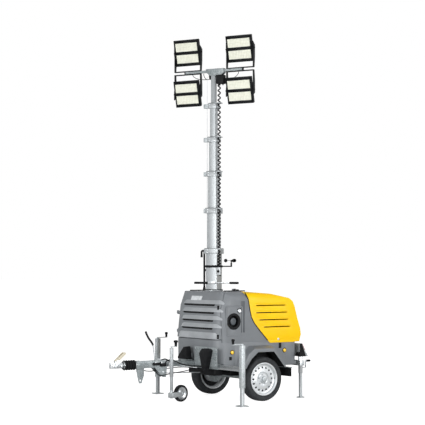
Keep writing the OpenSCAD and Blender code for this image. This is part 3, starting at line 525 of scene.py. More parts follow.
def boltHead(acrossFlats):
    def disc(tree, count, radius, tall, lift):
        drum = addNode(tree, "GeometryNodeMeshCylinder", {"Vertices": count, "Radius": acrossFlats * radius,
                                                          "Depth": acrossFlats * tall})
        return addNode(tree, "GeometryNodeTransform", {"Translation": (0, 0, acrossFlats * lift), "Geometry": drum})

    def shape(tree):
        head, washer = disc(tree, *boltShape["head"]), disc(tree, *boltShape["washer"])
        both = addNode(tree, "GeometryNodeJoinGeometry", {0: head})
        tree.links.new(washer.outputs[0], both.inputs[0])
        return both
    return shape


boltTrees = {}


def bolts(name, spots, size, body="trailer", slotName="bright_steel", look=None, place=at,
          turn=Matrix.Identity(3)):
    look = look or slotLooks[slotName]
    if (size, look.name) not in boltTrees:
        boltTrees[size, look.name] = pointTree(f"bolt heads {len(boltTrees)}", look, boltHead(size / 1000))
    grown(name, boltTrees[size, look.name], body, mesh=pointCloud(name, spots, place, turn))


# Moulded housing: the front leans back in two steps, given as height and place along X
shell = {"halfWidth": 530, "corner": 155, "face": ((800, -662), (1250, -609), (1435, -540)), "edge": 9}
louvres = {"heights": (1262, 1160, 1058, 956), "out": 27, "tall": 46, "round": 56, "slotRound": 7, "slotEnd": 335}
footBand = {"height": 812, "round": 49, "end": 400,
            "section": ((-4, 4), (4, 8), (6, 14), (6, 78), (4, 88), (-4, 94))}
plate = {"corners": ((-45, 1312), (208, 1312), (208, 1372), (-45, 1372)), "faces": (2.2, -2), "edge": 0.8}
flatHalf = shell["halfWidth"] - shell["corner"]


def faceX(z):
    (z0, x0), (z1, x1), (z2, x2) = shell["face"]
    return x0 + (x1 - x0) * (z - z0) / (z1 - z0) if z < z1 else x1 + (x2 - x1) * (z - z1) / (z2 - z1)


# A point on the rounded front: across from the middle, and from there by an angle round the corner
def frontPoint(z, across, degrees, out):
    if abs(across) < flatHalf:
        return at(faceX(z) - out, across, z)
    inward, aside = onCircle(shell["corner"] + out, degrees)
    return at(faceX(z) + shell["corner"] - inward, math.copysign(flatHalf + aside, across), z)


# How a lip fades at its ends: its least shares out and up, steps along the flat, and the part of a corner it takes
fade = {"out": 0.02, "up": 0.35, "steps": ((0, 0.02), (20, 0.75), (50, 1.0)), "corner": 0.45, "everyDegrees": 7}


# A raised lip: a section swept along stations, each a function of how far out and how high, and a fading share
def lip(stations, section):
    return strung([[spot(out * share, up * (fade["up"] + (1 - fade["up"]) * share)) for out, up in section]
                   for spot, share in stations])


def frontStations(z, cornerDegrees, end=345):
    stations = [(end - step, 0, share) for step, share in fade["steps"]]
    stations += [(-flatHalf, angle, min(1.0, (cornerDegrees - angle) / (cornerDegrees * fade["corner"])))
                 for angle in range(0, cornerDegrees + 1, fade["everyDegrees"])]
    return [(lambda out, up, a=a, d=d: frontPoint(z + up, a, d, out), max(share, fade["out"]))
            for a, d, share in stations]


ledgeSection = [(-4, 8), (louvres["out"], 9), (louvres["out"] + 1, 14),
                (louvres["out"] * 0.62, louvres["tall"] * 0.62), (louvres["out"] * 0.22, louvres["tall"]),
                (-4, louvres["tall"] + 22)]
slotSection = [(-4, -19), (3.5, -16), (3.5, 10), (-4, 10)]    # the open slot under each ledge
# The ledges wear the paler grey: painted highlight on the lips
built("front_door_ledges", "grey_shell", [lip(frontStations(z, louvres["round"]), ledgeSection)
                                          for z in louvres["heights"]], "front_door", paintedHighlightMoulding, angle=50)
# Black bands in the open slot under each ledge: painted shade in the slots
built("front_door_slot_shades", "black_plastic", [
    lip(frontStations(z, louvres["slotRound"], louvres["slotEnd"]), slotSection) for z in louvres["heights"]],
    "front_door", angle=50)
built("plain_plate", "bright_steel", [strung([[frontPoint(z, y, 0, out) for y, z in plate["corners"]]
                                              for out in plate["faces"]])], width=plate["edge"])
# The foot band wears the same paler grey: painted highlight
built("front_door_foot_band", "grey_shell", [
    lip(frontStations(footBand["height"], footBand["round"], footBand["end"]), footBand["section"])],
    "front_door", paintedHighlightMoulding, angle=50)
softened("front_door", shell["edge"], 3)
softened("front_housing", shell["edge"], 3)


# Whether a spot is within a gap of a line of X and Z, seen from the side
def nearLine(spot, line, gap):
    here = Vector((spot.x, spot.z))
    for a, b in zip(map(Vector, line), map(Vector, line[1:])):
        share = max(0, min(1, (here - a).dot(b - a) / (b - a).length_squared))
        if (here - a.lerp(b, share)).length < gap:
            return True
    return False


# The inner walls of the wheel bays and the edges of the arches are black: painted shade inside the wheel arches
arch = {"line": ((-310, 440), (-292, 475), (-228, 563), (-123, 646), (134, 646), (218, 548), (300, 452), (305, 440)),
        "bay": (-380, 440), "wall": 488, "edge": 12}
softened("base_tub", arch["edge"], 3, second=(blackMoulding, lambda spot, normal: (
    abs(abs(spot.y) - arch["wall"]) < 3 and arch["bay"][0] < spot.x < arch["bay"][1])))
softened("fenders", arch["edge"], 3, second=(blackMoulding, lambda spot, normal: nearLine(spot, arch["line"], 6)))

hood = {"back": ((690, 781), (712, 850), (700, 935), (652, 1070), (604, 1235), (572, 1300), (510, 1342)),
        "slots": ((-37, 450, 1247), (-37, 474, 1152), (16, 492, 1057), (90, 524, 962)),
        "slotSection": ((-4, 7), (12, 8), (12, 14), (6, 30), (-4, 36)),
        "skirt": ((153, 787), (187, 751.5), (560, 751.5), (686, 757.5), (692, 790)), "skirtFaces": (-4.2, 1.2),
        "seal": ((-224, 1425), (-166, 1330), (-142, 1200), (-115, 1096), (-70, 1017), (24, 914), (148, 788)),
        "sealWide": 13, "lock": (328, 797), "rearRound": 65, "edge": 10, "lugsAbove": 1436.6}


def markRearCorners(bm):
    weight = bm.edges.layers.float.new("bevel_weight_edge")
    for edge in bm.edges:
        ends = [fromAxle(vert.co) for vert in edge.verts]
        if all(abs(spot.y) > shell["halfWidth"] - 1.5 and nearLine(spot, hood["back"], 4) for spot in ends):
            edge[weight] = 1.0


def hoodSkin():
    piece = merged("hood", yellowMoulding, markRearCorners)
    piece.data.materials.append(blackMoulding)
    for face in piece.data.polygons:                     # the hinge lugs on the roof are black
        face.material_index = int(fromAxle(face.center).z > hood["lugsAbove"])
    corner = piece.modifiers.new("rear corners", "BEVEL")
    corner.width = hood["rearRound"] / 1000
    corner.segments = 6
    corner.limit_method = "WEIGHT"
    bake(piece)
    rounded(piece, hood["edge"], 3, 34)
    smoothByAngle(piece.data, 35)
    handedOver(piece, "hood", ["hood"])


hoodSkin()


# A ledge over one slot in the hood's side, fading out at both ends
def hoodLedge(side, x0, x1, z):
    stations = ((x0 - 30, 0.02), (x0, 0.8), (x0 + 40, 1), (x1 - 40, 1), (x1, 0.8), (x1 + 35, 0.02))
    return lip([(lambda out, up, x=x: at(x, side * (shell["halfWidth"] + out), z + up), share)
                for x, share in stations], hood["slotSection"])


# The black seal in the gap along the hood's front edge
def sealStrip(side):
    spots = [Vector(spot) for spot in hood["seal"]]
    rings = []
    for i, spot in enumerate(spots):
        run = (spots[min(i + 1, len(spots) - 1)] - spots[max(i - 1, 0)]).normalized()
        aside = Vector((-run.y, run.x)) * hood["sealWide"] / 2
        rings.append([at(edge.x, side * (shell["halfWidth"] + out), edge.y) for edge, out in
                      ((spot + aside, -3), (spot + aside, 1.5), (spot - aside, 1.5), (spot - aside, -3))])
    return strung(rings)


# The hood's sides hang a little below the deck, and a small barrel lock sits in each
built("hood_skirts", "yellow_shell", [
    strung([[at(x, side * (shell["halfWidth"] + out), z) for x, z in hood["skirt"]] for out in hood["skirtFaces"]])
    for side in sides], "hood", width=1.5)
built("hood_locks", "bright_steel", [
    turned(at(hood["lock"][0], side * (shell["halfWidth"] + 0.5), hood["lock"][1]), (0, side, 0),
           [(0, 0), (15, 0), (15, 4.5), (12, 6.5), (4.5, 6.5), (3.5, 4.5), (0, 4.5)], 28) for side in sides], "hood")
built("hood_edge_seals", "black_rubber", [sealStrip(side) for side in sides])
built("hood_ledges", "yellow_shell", [hoodLedge(side, *slot) for side in sides for slot in hood["slots"]], "hood",
      angle=50)

# The long dark strips where the roof meets the mast well
roofStrip = {"x": (-465, -132), "y": 400, "half": 12, "z": (1433.5, 1448.5)}
built("roof_strip", "black_plastic", [
    boxed(*[(roofStrip["x"][i], side * roofStrip["y"] + way * roofStrip["half"], roofStrip["z"][i])
            for i, way in enumerate(sides)]) for side in sides], width=3)

# The panel framed by a low ridge on each side, and a darker strip between it and the hood: painted shade where the
# side steps in behind the panel
panel = {"x": (-515, -265), "z": (860, 1245), "round": 30, "wide": 9, "proud": 5, "channel": (-283, -226),
         "channelTall": (900, 1310)}


def ridgeFrame(side):
    ring = [(panel["x"][cx] - panel["round"] * (2 * cx - 1), panel["z"][cz] - panel["round"] * (2 * cz - 1),
             start + step * 18)
            for cx, cz, start in ((1, 1, 0), (0, 1, 90), (0, 0, 180), (1, 0, 270)) for step in range(6)]
    loops = []
    for share, out in ((1, -2), (0.7, panel["proud"]), (-0.7, panel["proud"]), (-1, -2)):
        y = side * (shell["halfWidth"] + out)
        reach = [onCircle(panel["round"] + panel["wide"] * share, turn) for x, z, turn in ring]
        loops.append([at(x + along, y, z + up) for (x, z, turn), (along, up) in zip(ring, reach)])
    return strung(loops, True)


built("side_panel_ridges", "grey_shell", [ridgeFrame(side) for side in sides], angle=45)
# Dark grey strips standing on the side beside the hood: painted shade where the side steps in
built("side_channels", "grey_shell", [
    boxed(*[(panel["channel"][i], side * shell["halfWidth"] + way * 4, panel["channelTall"][i])
            for i, way in enumerate(sides)]) for side in sides], look=paintedShadeMoulding, width=3)

# Fuel filler: a deep black cup with a ribbed grey screw cap on its neck
filler = {
    "spot": (-400, -530, 1047), "ribs": 9, "edge": 1.2,
    "cup": ((0, -56), (77.5, -56), (77.5, 0), (108, 0), (108, 3), (104, 6), (86, 6), (76.5, 4), (74.5, -3),
            (70, -50), (30, -53), (0, -53)),
    "neck": ((0, -56), (33, -55), (33, -34), (0, -34)),
    "cap": ((0, -35), (44, -34), (46, -31), (46, -14), (43, -10), (30, -8.5), (0, -8.5)),
    "rib": ((-47.5, -2.8, -31), (47.5, 2.8, -13)), "grip": ((-36, -7, -10), (36, 7, -4)),
}
outward = (0, -1, 0)
fillerSpot = at(*filler["spot"])
fillerFrame = axisFrame(fillerSpot, outward)
built("fuel_filler_cup", "black_plastic", [turned(fillerSpot, outward, filler["cup"], 40),
                                           turned(fillerSpot, outward, filler["neck"], 28)], nodes=["fuel_filler"])
built("fuel_cap", "power_unit_paint", [
    turned(fillerSpot, outward, filler["cap"], 36), boxed(*filler["grip"], within(fillerFrame))] + [
    boxed(*filler["rib"], within(fillerFrame @ Matrix.Rotation(math.radians(20 * i), 4, "Z")))
    for i in range(filler["ribs"])], width=filler["edge"])

# Door and hood latches: a flat case with a folding paddle and its hinge pin
latches = {"door": ((1225, 30), (850, 42)), "doorAcross": -376, "doorSize": (56, 26),
           "hood": (357.5, 525, 712), "hoodSize": (70, 34), "edge": 1.5,
           # depths, then shares of the width and the height
           "parts": ((-4, 10, 0.5, -0.5, 0.5), (10, 17, 0.36, -0.42, 0.30), (9, 20, 0.3, 0.30, 0.42))}


def latch(spot, degrees, size):
    tall, wide = size
    place = within(Matrix.Translation(spot) @ Matrix.Rotation(math.radians(degrees), 4, "Z"))
    return [boxed((x0, -wide * half, tall * low), (x1, wide * half, tall * high), place)
            for x0, x1, half, low, high in latches["parts"]]


built("door_latch_set", "black_plastic", [
    shape for z, degrees in latches["door"]
    for shape in latch(frontPoint(z, latches["doorAcross"], degrees, 0), 180 + degrees, latches["doorSize"])],
    "front_door", nodes=["door_latches"], width=latches["edge"])
hoodX, hoodY, hoodZ = latches["hood"]
built("hood_latch_set", "black_plastic", [
    shape for side in sides for shape in latch(at(hoodX, side * hoodY, hoodZ), 90 * side, latches["hoodSize"])],
    nodes=["hood_latches"], width=latches["edge"])
# The round lock beside the filler, in its ring
panelLock = {"spot": (-312, -530, 1185), "barrel": ((26, -1), (26, 4), (23, 7), (14, 6), (13, 3.5), (0, 3.5)),
             "ring": ((34, -1), (34, 2), (31, 4), (26, 4), (26, -1))}
built("panel_lock", "bright_steel", [turned(at(*panelLock["spot"]), outward, panelLock["barrel"], 28)])
built("panel_lock_ring", "black_plastic", [turned(at(*panelLock["spot"]), outward, panelLock["ring"], 28)])
print("housing: shell, hood, door, filler and latches")


# An outline followed by its mirror image across the height 0
def mirrored(half):
    return list(half) + [(radius, -height) for radius, height in reversed(half)]


# Road wheels
roadTyre = {"radius": 290, "half": 82.5, "bead": 203.5, "blocks": 58, "hub": (583.5, 290),
            "rows": ((46.5, (7.5, 18.5, 16.5), 283.5), (22.5, (7, 19, 15), 284.5))}
rim = {"edge": 2.5, "holeCircle": 149, "holeReach": 20, "boltCircle": 65.5, "boltSize": 21, "bolts": 5,
       "ring": ((115.3, 5), (182.6, 5), (182.6, 8.5), (115.3, 8.5)),
       "cap": ((0, 56), (36, 56), (38.5, 60), (38.5, 78), (35, 88), (22, 93), (0, 94)),
       "valve": ((0, -4), (4.5, -4), (4, 16), (3, 24), (0, 24)), "valveSpot": (187, 0, 30)}


def tyreProfile():
    b, r, h = roadTyre["bead"], roadTyre["radius"], roadTyre["half"]
    side = [(b, 61.5), (b + 12.5, 62), (b + 15, 68), (b + 19.5, 76.5), (b + 27, 80.5), (b + 29, 82.5), (b + 31, 81.2),
            (b + 44, h), (b + 46, h - 1.6), (b + 54, h - 1.2), (b + 62, 79), (b + 63, 80.5), (b + 66, 79.5),
            (b + 72, 74.5), (b + 79, 68), (r - 5, 60)]
    tread = [(r - 3.5, 50), (r - 2.5, 37.5), (r - 9, 36.5), (r - 9, 32.5), (r - 2, 31.5), (r - 1, 12), (r - 8.5, 11),
             (r - 8.5, 7), (r - 1, 6)]
    return mirrored(side + tread)


# Blocks round a circle: a count, a radius, a block size and the row's place across the tread
def blockRingTree(look):
    tree, given = openTree("tread blocks", {"Count": 58, "Radius": 0.29, "Block": (0.01, 0.02, 0.01), "Offset": 0.0})
    circle = addNode(tree, "GeometryNodeMeshCircle", {"Vertices": given["Count"], "Radius": given["Radius"]})
    block = addNode(tree, "GeometryNodeMeshCube", {"Size": given["Block"]})
    turn = addNode(tree, "FunctionNodeAlignRotationToVector", {
        "axis": "X", "Vector": addNode(tree, "GeometryNodeInputPosition")})
    placed = addNode(tree, "GeometryNodeInstanceOnPoints", {"Points": circle, "Instance": block, "Rotation": turn})
    shift = addNode(tree, "ShaderNodeCombineXYZ", {"Z": given["Offset"]})
    return closeTree(tree, addNode(tree, "GeometryNodeTransform", {"Geometry": placed, "Translation": shift}), look)


treadTree = blockRingTree(tyreRubber)
for side, name in zip(sides, ("near", "far")):
    body = "wheel_" + name
    hub = at(0, side * roadTyre["hub"][0], roadTyre["hub"][1])
    outward = (0, side, 0)
    place = axisFrame(hub, outward)
    built(f"tyre_{name}_carcass", "tyre_rubber", [turned(hub, outward, tyreProfile(), 96, True)], body,
          nodes=["tyre_" + name], angle=30)
    rows = [(way * offset, size, radius) for offset, size, radius in roadTyre["rows"] for way in (1, -1)]
    for row, (offset, size, radius) in enumerate(rows):
        grown(f"tyre_{name}_tread_{row}", treadTree, body, {
            "Count": roadTyre["blocks"], "Radius": radius / 1000, "Block": [length / 1000 for length in size],
            "Offset": offset / 1000}, place=place)
    # The walls of the holes in the disc are black: painted shade that keeps the holes dark
    softened("rim_" + name, rim["edge"], second=(blackMoulding, lambda spot, normal: (
        abs(math.hypot(spot.x, spot.z - roadTyre["hub"][1]) - rim["holeCircle"]) < rim["holeReach"]
        and abs(normal.y) < 0.35)))
    built("hub_cap_" + name, "galvanised", [turned(hub, outward, rim["cap"], 40)], body)
    # A black ring behind the holes in the disc: painted shade seen through the holes
    built("rim_shade_ring_" + name, "black_plastic", [turned(hub, outward, rim["ring"], 64, True)], body)
    bolts("wheel_bolts_" + name, [((*onCircle(rim["boltCircle"], 360 / rim["bolts"] * i + 18), 30.5), outward)
                                  for i in range(rim["bolts"])], rim["boltSize"], body, place=within(place))
    built("valve_" + name, "black_rubber", [
        turned(within(place)(*rim["valveSpot"]), outward, rim["valve"], 12)], body)

# Axle: a square beam on two saddles, with a brake drum and a spindle at each end
axle = {"half": 30, "beamEnd": 440, "spindle": 19.4, "tip": 600, "drum": 118, "z": 290, "saddleY": 330,
        "saddleHalf": (60, 20), "edge": 2}
half, end, drum, stub = axle["half"], axle["beamEnd"], axle["drum"], axle["tip"] - axle["beamEnd"]
saddleTop = axleHigh.z * 1000
axleShapes = [boxed((-half, -end, axle["z"] - half), (half, end, axle["z"] + half))]
for side in sides:
    long, wide = axle["saddleHalf"]
    y = side * axle["saddleY"]
    axleShapes += [
        boxed((-long, y - wide, axle["z"] + half), (long, y + wide, saddleTop)),
        turned(at(0, side * end, axle["z"]), (0, side, 0), [
            (0, -10), (35, -10), (35, 18), (drum - 4, 18), (drum, 21), (drum, 28), (axle["spindle"], 28),
            (axle["spindle"], stub), (0, stub)], 48)]
built("axle_beam", "galvanised", axleShapes, look=weatheredSteel, nodes=["axle"], width=axle["edge"])
print("wheels: tyres, tread blocks, rims and bolts")

# Mast: six square sections, the lower five each with a collar of wear pads, bolts, a rope sheave and a ring for the
# coiled lead
mast = {"side": 160, "step": 20, "lip": 20, "roof": 1452, "padTall": 5, "boltRows": (18, 50), "boltAcross": 0.55,
        "boltSize": 10, "edge": 2.5}
rope = {"y": 112, "radius": 2.8, "sheaveDrop": 30, "topDrop": 60, "bracketHalf": 17, "bracketWall": 4,
        "bracketOut": 34, "bracketTall": (62, 2),
        "sheave": ((0, 0), (26, 0), (26, 4), (19, 8), (19, 10), (26, 14), (26, 18), (0, 18))}
coil = {"spot": (-60, -107), "radius": 15.0, "cord": 8.8, "pitch": (40, 46, 52, 58, 66, 71), "ring": 26.2,
        "stepsPerTurn": 14}
mastTops = [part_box(f"mast_section_{k}")[1][2] * 1000 for k in range(1, 7)]
for k in range(1, 7):
    softened(f"mast_section_{k}", mast["edge"])
for k in range(1, 6):
    half = (mast["side"] - (k - 1) * mast["step"]) / 2
    edge = half + mast["lip"]
    inner = half - mast["step"] / 2 + 2.2
    rimHalf = edge - 4
    top = mastTops[k - 1]
    body = f"mast_{k}"
    built(f"wear_pads_{k}", "black_plastic", [
        boxed((x0, y0, top - 1), (x1, y1, top + mast["padTall"]), onMast) for x0, y0, x1, y1 in (
            (-rimHalf, -rimHalf, -inner, rimHalf), (inner, -rimHalf, rimHalf, rimHalf),
            (-inner, inner, inner, rimHalf), (-inner, -rimHalf, inner, -inner))], body, width=1)
    spots = []
    for across in (-mast["boltAcross"] * edge, mast["boltAcross"] * edge):
        for low in mast["boltRows"]:
            spots += [((-edge, across, top - low), (-1, 0, 0)), ((edge, across, top - low), (1, 0, 0)),
                      ((across, -edge, top - low), (0, -1, 0))]
    bolts(f"collar_bolts_{k}", spots, mast["boltSize"], body, place=onMast, turn=mastTurn)
    wide, reach, (low, high) = rope["bracketHalf"], rope["y"] + rope["bracketOut"], rope["bracketTall"]
    built(f"sheave_bracket_{k}", "galvanised", [
        boxed((x0, edge - inset, top - low), (x1, end, top - high), onMast) for x0, x1, inset, end in (
            (-wide, rope["bracketWall"] - wide, 4, reach), (wide - rope["bracketWall"], wide, 4, reach),
            (-wide, wide, 2, edge + 3))], body, width=1)
    built(f"sheave_{k}", "black_plastic", [turned(onMast(-9, rope["y"] + 10, top - rope["sheaveDrop"]),
                                                  mastTurn @ Vector((1, 0, 0)), rope["sheave"], 28)], body)
    section = [(coil["ring"] + onCircle(4.2, turn)[0], onCircle(8.5, turn)[1]) for turn in range(0, 360, 45)]
    built(f"lead_ring_{k}", "black_rubber", [turned(onMast(*coil["spot"], top - 6), (0, 0, 1), section, 32, True)],
          body)


# Wire rope from sheave to sheave; the lowest length comes up from the roof
def wireRope(name, low, high, pieces, body):
    return built(name, "bright_steel", [rod([(0, rope["y"] - 12, low + (high - low) * i / pieces)
                                             for i in range(pieces + 1)], rope["radius"], 8, 1, onMast)], body)


ropeEnds = [top - rope["sheaveDrop"] for top in mastTops[:5]] + [mastTops[5] - rope["topDrop"]]
for k, (low, high) in enumerate(zip(ropeEnds, ropeEnds[1:]), 1):
    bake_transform(wireRope(f"wire_rope_{k}", low, high, 8, None), f"mast_{k}", f"mast_{k + 1}",
             start=tuple(onMast(0, 0, low)), end=tuple(onMast(0, 0, high)))
wireRope("wire_rope_0", mast["roof"], ropeEnds[0], 1, "mast_1")


# A cord wound into a spring: turns, radius, height and cord thickness
def springTree(look):
    tree, given = openTree("coiled lead", {"Turns": 8.0, "Radius": 0.016, "Height": 0.5, "Cord": 0.005, "Steps": 120})
    line = addNode(tree, "GeometryNodeCurveSpiral", {
        "Resolution": given["Steps"], "Rotations": given["Turns"], "Start Radius": given["Radius"],
        "End Radius": given["Radius"], "Height": given["Height"]})
    section = addNode(tree, "GeometryNodeCurvePrimitiveCircle", {"Resolution": 10, "Radius": given["Cord"]})
    tube = addNode(tree, "GeometryNodeCurveToMesh", {"Fill Caps": True, "Curve": line, "Profile Curve": section})
    return closeTree(tree, tube, look)


leadTree = springTree(blackRubber)
for k, pitch in enumerate(coil["pitch"]):
    low, high = [corner[2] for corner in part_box(f"coiled_cable_{k}")]
    turns = round(((high - low) * 1000 - 4) / pitch)
    piece = grown(f"coiled_lead_{k}", leadTree, None if k else "mast_1", {
        "Turns": float(turns), "Radius": coil["radius"] / 1000, "Height": high - low, "Cord": coil["cord"] / 1000,
        "Steps": turns * coil["stepsPerTurn"] + 1}, place=Matrix.Translation(onMast(*coil["spot"], low * 1000)),
        nodes=[f"coiled_cable_{k}"], angle=60)
    if k:
        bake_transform(piece)

# Turning bar with its two grips
bar = {"x": -96, "z": 1545, "ends": (-402, 242), "radius": 9, "grips": ((-404, -277), (43, 244)),
       "grip": 15.5, "groove": 14.6, "groovePitch": 12, "boss": (-100, -80, 60, 16)}


def ribbedGrip(low, high):
    long, pitch, radius = high - low, bar["groovePitch"], bar["grip"]
    rings = [(0, 0), (13.5, 0), (radius, 3)]
    for i in range(int(long / pitch) - 1):
        z = 6 + i * pitch
        rings += [(radius, z), (bar["groove"], z + 4), (radius, z + 8)]
    return turned(onMast(bar["x"], low, bar["z"]), mastTurn @ Vector((0, 1, 0)),
                  rings + [(radius, long - 4), (12, long), (0, long)], 20)


x0, x1, bossY, bossZ = bar["boss"]
built("turning_bar", "bright_steel", [
    rod([(bar["x"], y, bar["z"]) for y in bar["ends"]], bar["radius"], 16, 1, onMast),
    boxed((x0, -bossY, bar["z"] - bossZ), (x1, bossY, bar["z"] + bossZ), onMast)], "mast_1", nodes=["turn_handle"],
    width=1)
built("turning_bar_grips", "black_rubber", [ribbedGrip(*grip) for grip in bar["grips"]], "mast_1", angle=50)

# Hose that comes up beside the mast, loops over and hangs back down into its end fitting
hose = {"x": -60, "y": 114, "bend": 20, "top": 1955, "radius": 13, "up": (1452, 1700, 1920), "down": (1925, 1887),
        "clamp": ((-76, 79, 1700), (-44, 106, 1730)), "fitting": ((0, 0), (14.8, 0), (14.8, 28), (0, 28)),
        "foot": ((0, 0), (20, 0), (18, 30), (14.5, 40), (0, 40))}
x, y, bend = hose["x"], hose["y"], hose["bend"]
hosePath = [(x, y, z) for z in hose["up"]]
hosePath += [(x, y + bend - onCircle(bend, turn)[0], hose["top"] + onCircle(bend, turn)[1])
             for turn in range(0, 181, 30)]
hosePath += [(x, y + 2 * bend, z) for z in hose["down"]]
built("mast_hose_run", "black_rubber", [
    rod(hosePath, hose["radius"], 14, 4, onMast), boxed(*hose["clamp"], onMast),
    turned(onMast(x, y + 2 * bend, hose["down"][1] - 1), (0, 0, 1), hose["fitting"], 20),
    turned(onMast(x, y, hose["up"][0] - 3), (0, 0, 1), hose["foot"], 20)], "mast_1", nodes=["mast_hose"], angle=50)

# Wind meter: an arm with three hollow cups on short spokes
meter = {"cups": 3, "outer": 23.5, "inner": 22.0, "cupAt": (74, 0, 2), "spoke": ((8, 0, 2), (56, 0, 2)), "lift": 22,
         "hub": ((0, 1), (9.5, 1), (10, 4), (10, 26), (7, 30), (0, 31))}
softened("anemometer_arm", 1.5)
rotorX, rotorY, _ = joints["anemometer_spin"]["pos_m"]
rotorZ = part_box("anemometer_rotor")[0][2] + meter["lift"] / 1000


def cup(angle):
    turn = Matrix.Translation((rotorX, rotorY, rotorZ)) @ Matrix.Rotation(mastAngle + math.radians(angle), 4, "Z")
    centre, aim = within(turn)(*meter["cupAt"]), turn.to_3x3() @ Vector((0, 1, 0))
    outer = [onCircle(meter["outer"], a) for a in range(0, 90, 15)] + [(0, meter["outer"])]
    inner = [(0, meter["inner"])] + [onCircle(meter["inner"], a) for a in range(75, -1, -15)]
    return [turned(centre, aim, outer, 20), turned(centre, aim, inner, 20),
            rod(meter["spoke"], 2.5, 8, 1, within(turn))]


built("wind_cups", "black_plastic", [
    shape for i in range(meter["cups"]) for shape in cup(360 / meter["cups"] * i)] + [
    turned((rotorX, rotorY, rotorZ - 0.020), (0, 0, 1), meter["hub"], 20)], "anemometer",
    nodes=["anemometer_rotor"])

# Slotted bracket that clamps the foot of the coiled lead, and the ring seal where the mast leaves the roof
foot = {"clamp": ((-94, -140, 1650), (-90, -78, 1752)), "clampSide": ((-94, -84, 1650), (-79, -78, 1752)),
        "hole": (-93.8, -110, 1700), "holeDisc": ((0, 0), (20, 0), (20, 1.2), (0, 1.2)),
        "seal": ((100, 1449.2), (122.5, 1449.2), (122.5, 1453), (116, 1459), (100, 1459))}
built("lead_clamp", "mast_metal", [boxed(*foot["clamp"], onMast), boxed(*foot["clampSide"], onMast)], "mast_1",
      width=1)
built("lead_clamp_hole", "black_rubber", [
    turned(onMast(*foot["hole"]), mastTurn @ Vector((-1, 0, 0)), foot["holeDisc"], 28)], "mast_1")
built("mast_seal", "black_rubber", [turned(onMast(0, 0, 0), (0, 0, 1), foot["seal"], 48, True)], "mast_1")
print("mast: sections, sheaves, ropes, coiled lead, bar, hose and wind meter")

# Mast head and floodlights: a finned casting with two windows of optics, one above and one below its middle bar
softened("mast_head", 1.5, look=weatheredSteel)
softened("lamp_yokes")
lamp = {"half": (40, 183, 178), "frame": 20, "windows": ((21.5, 136), (-136, -21.5)), "z": 4400, "up": 281,
        "across": 391, "tilt": -15, "edge": 1.6, "bezel": 9, "case": (8, 12), "box": (75, 55), "boxShort": 2,
        "fins": 17, "finHalf": 1.8, "finFrom": 11, "finInset": (10, 6), "finClear": (5, 7), "columns": 14, "rows": 6,
        "board": (4.5, 8.5), "optic": (8.5, 0.42), "screw": 6.5, "screwInset": (8, 21), "yokeOut": 17.5,
        "yokeScrew": 24, "headScrew": 10, "headScrewX": 36.5, "headScrewY": (-120, -60, 40),
        "headScrewZ": (4372, 4412)}


def opticDome(tree):
    radius, flat = lamp["optic"]
    dome = addNode(tree, "GeometryNodeMeshUVSphere", {"Segments": 10, "Rings": 6, "Radius": radius / 1000})
    return addNode(tree, "GeometryNodeTransform", {"Scale": (1, 1, flat), "Geometry": dome})


domeTree = pointTree("optics on a board", ledOptics, opticDome)
hx, hy, hz = lamp["half"]
wall = lamp["frame"]
boardFront, boardBack = lamp["board"]
screwY, screwZ = lamp["screwInset"]
(upLow, upHigh), (downLow, downHigh) = lamp["windows"]


def castingShapes(place):
    (boxY, boxZ), (front, back), (insetY, insetZ), (clearY, clearZ) = [
        lamp[key] for key in ("box", "case", "finInset", "finClear")]
    shapes = [boxed((-hx + front, -hy, -hz), (back, hy, hz), place)]
    shapes += [boxed((-hx, y0, z0), (-hx + lamp["bezel"], y1, z1), place) for y0, z0, y1, z1 in (
        (-hy, upHigh, hy, hz), (-hy, -hz, hy, downLow), (-hy, -hz, -hy + wall, hz), (hy - wall, -hz, hy, hz),
        (-hy, downHigh, hy, upLow))]
    shapes.append(boxed((lamp["finFrom"], -boxY, -boxZ), (hx - lamp["boxShort"], boxY, boxZ), place))
    for k in range(lamp["fins"]):                        # the middle fins stop short of the driver's box
        y = (hy - insetY) * (2 * k / (lamp["fins"] - 1) - 1)
        end, gap = hz - insetZ, boxZ + clearZ
        shapes += [boxed((lamp["finFrom"], y - lamp["finHalf"], low), (hx, y + lamp["finHalf"], high), place)
                   for low, high in ([(-end, end)] if abs(y) > boxY + clearY else [(gap, end), (-end, -gap)])]
    return shapes


spots = [(side * lamp["across"], lamp["z"] + up * lamp["up"]) for up in (1, -1) for side in sides]
for i, (y, z) in enumerate(spots, 1):
    body = f"lamp_{i}"
    lampFrame = mastFrame @ Matrix.Translation(Vector((0, y, z)) / 1000)
    lampFrame = lampFrame @ Matrix.Rotation(math.radians(lamp["tilt"]), 4, "Y")
    place, turn = within(lampFrame), lampFrame.to_3x3()
    built(f"lamp_{i}_casting", "lamp_housing", castingShapes(place), body, nodes=[body], width=lamp["edge"])
    optics = [((-hx + boardFront, -hy + wall + 2 * (hy - wall) * (c + 0.5) / lamp["columns"],
                low + (high - low) * (r + 0.5) / lamp["rows"]), (-1, 0, 0))
              for low, high in lamp["windows"] for c in range(lamp["columns"]) for r in range(lamp["rows"])]
    built(f"lamp_{i}_boards", None, [
        boxed((-hx + boardFront, -hy + wall, low), (-hx + boardBack, hy - wall, high), place)
        for low, high in lamp["windows"]], body, ledOptics)
    grown(f"lamp_{i}_optics", domeTree, body, mesh=pointCloud(f"lamp_{i}_optics", optics, place, turn),
          angle=60)
    bolts(f"lamp_{i}_screws", [((-hx, across, height), (-1, 0, 0)) for across in (-hy + screwY, 0, hy - screwY)
                               for height in (-hz + screwZ, 0, hz - screwZ)], lamp["screw"], body, "black_paint",
          place=place, turn=turn)
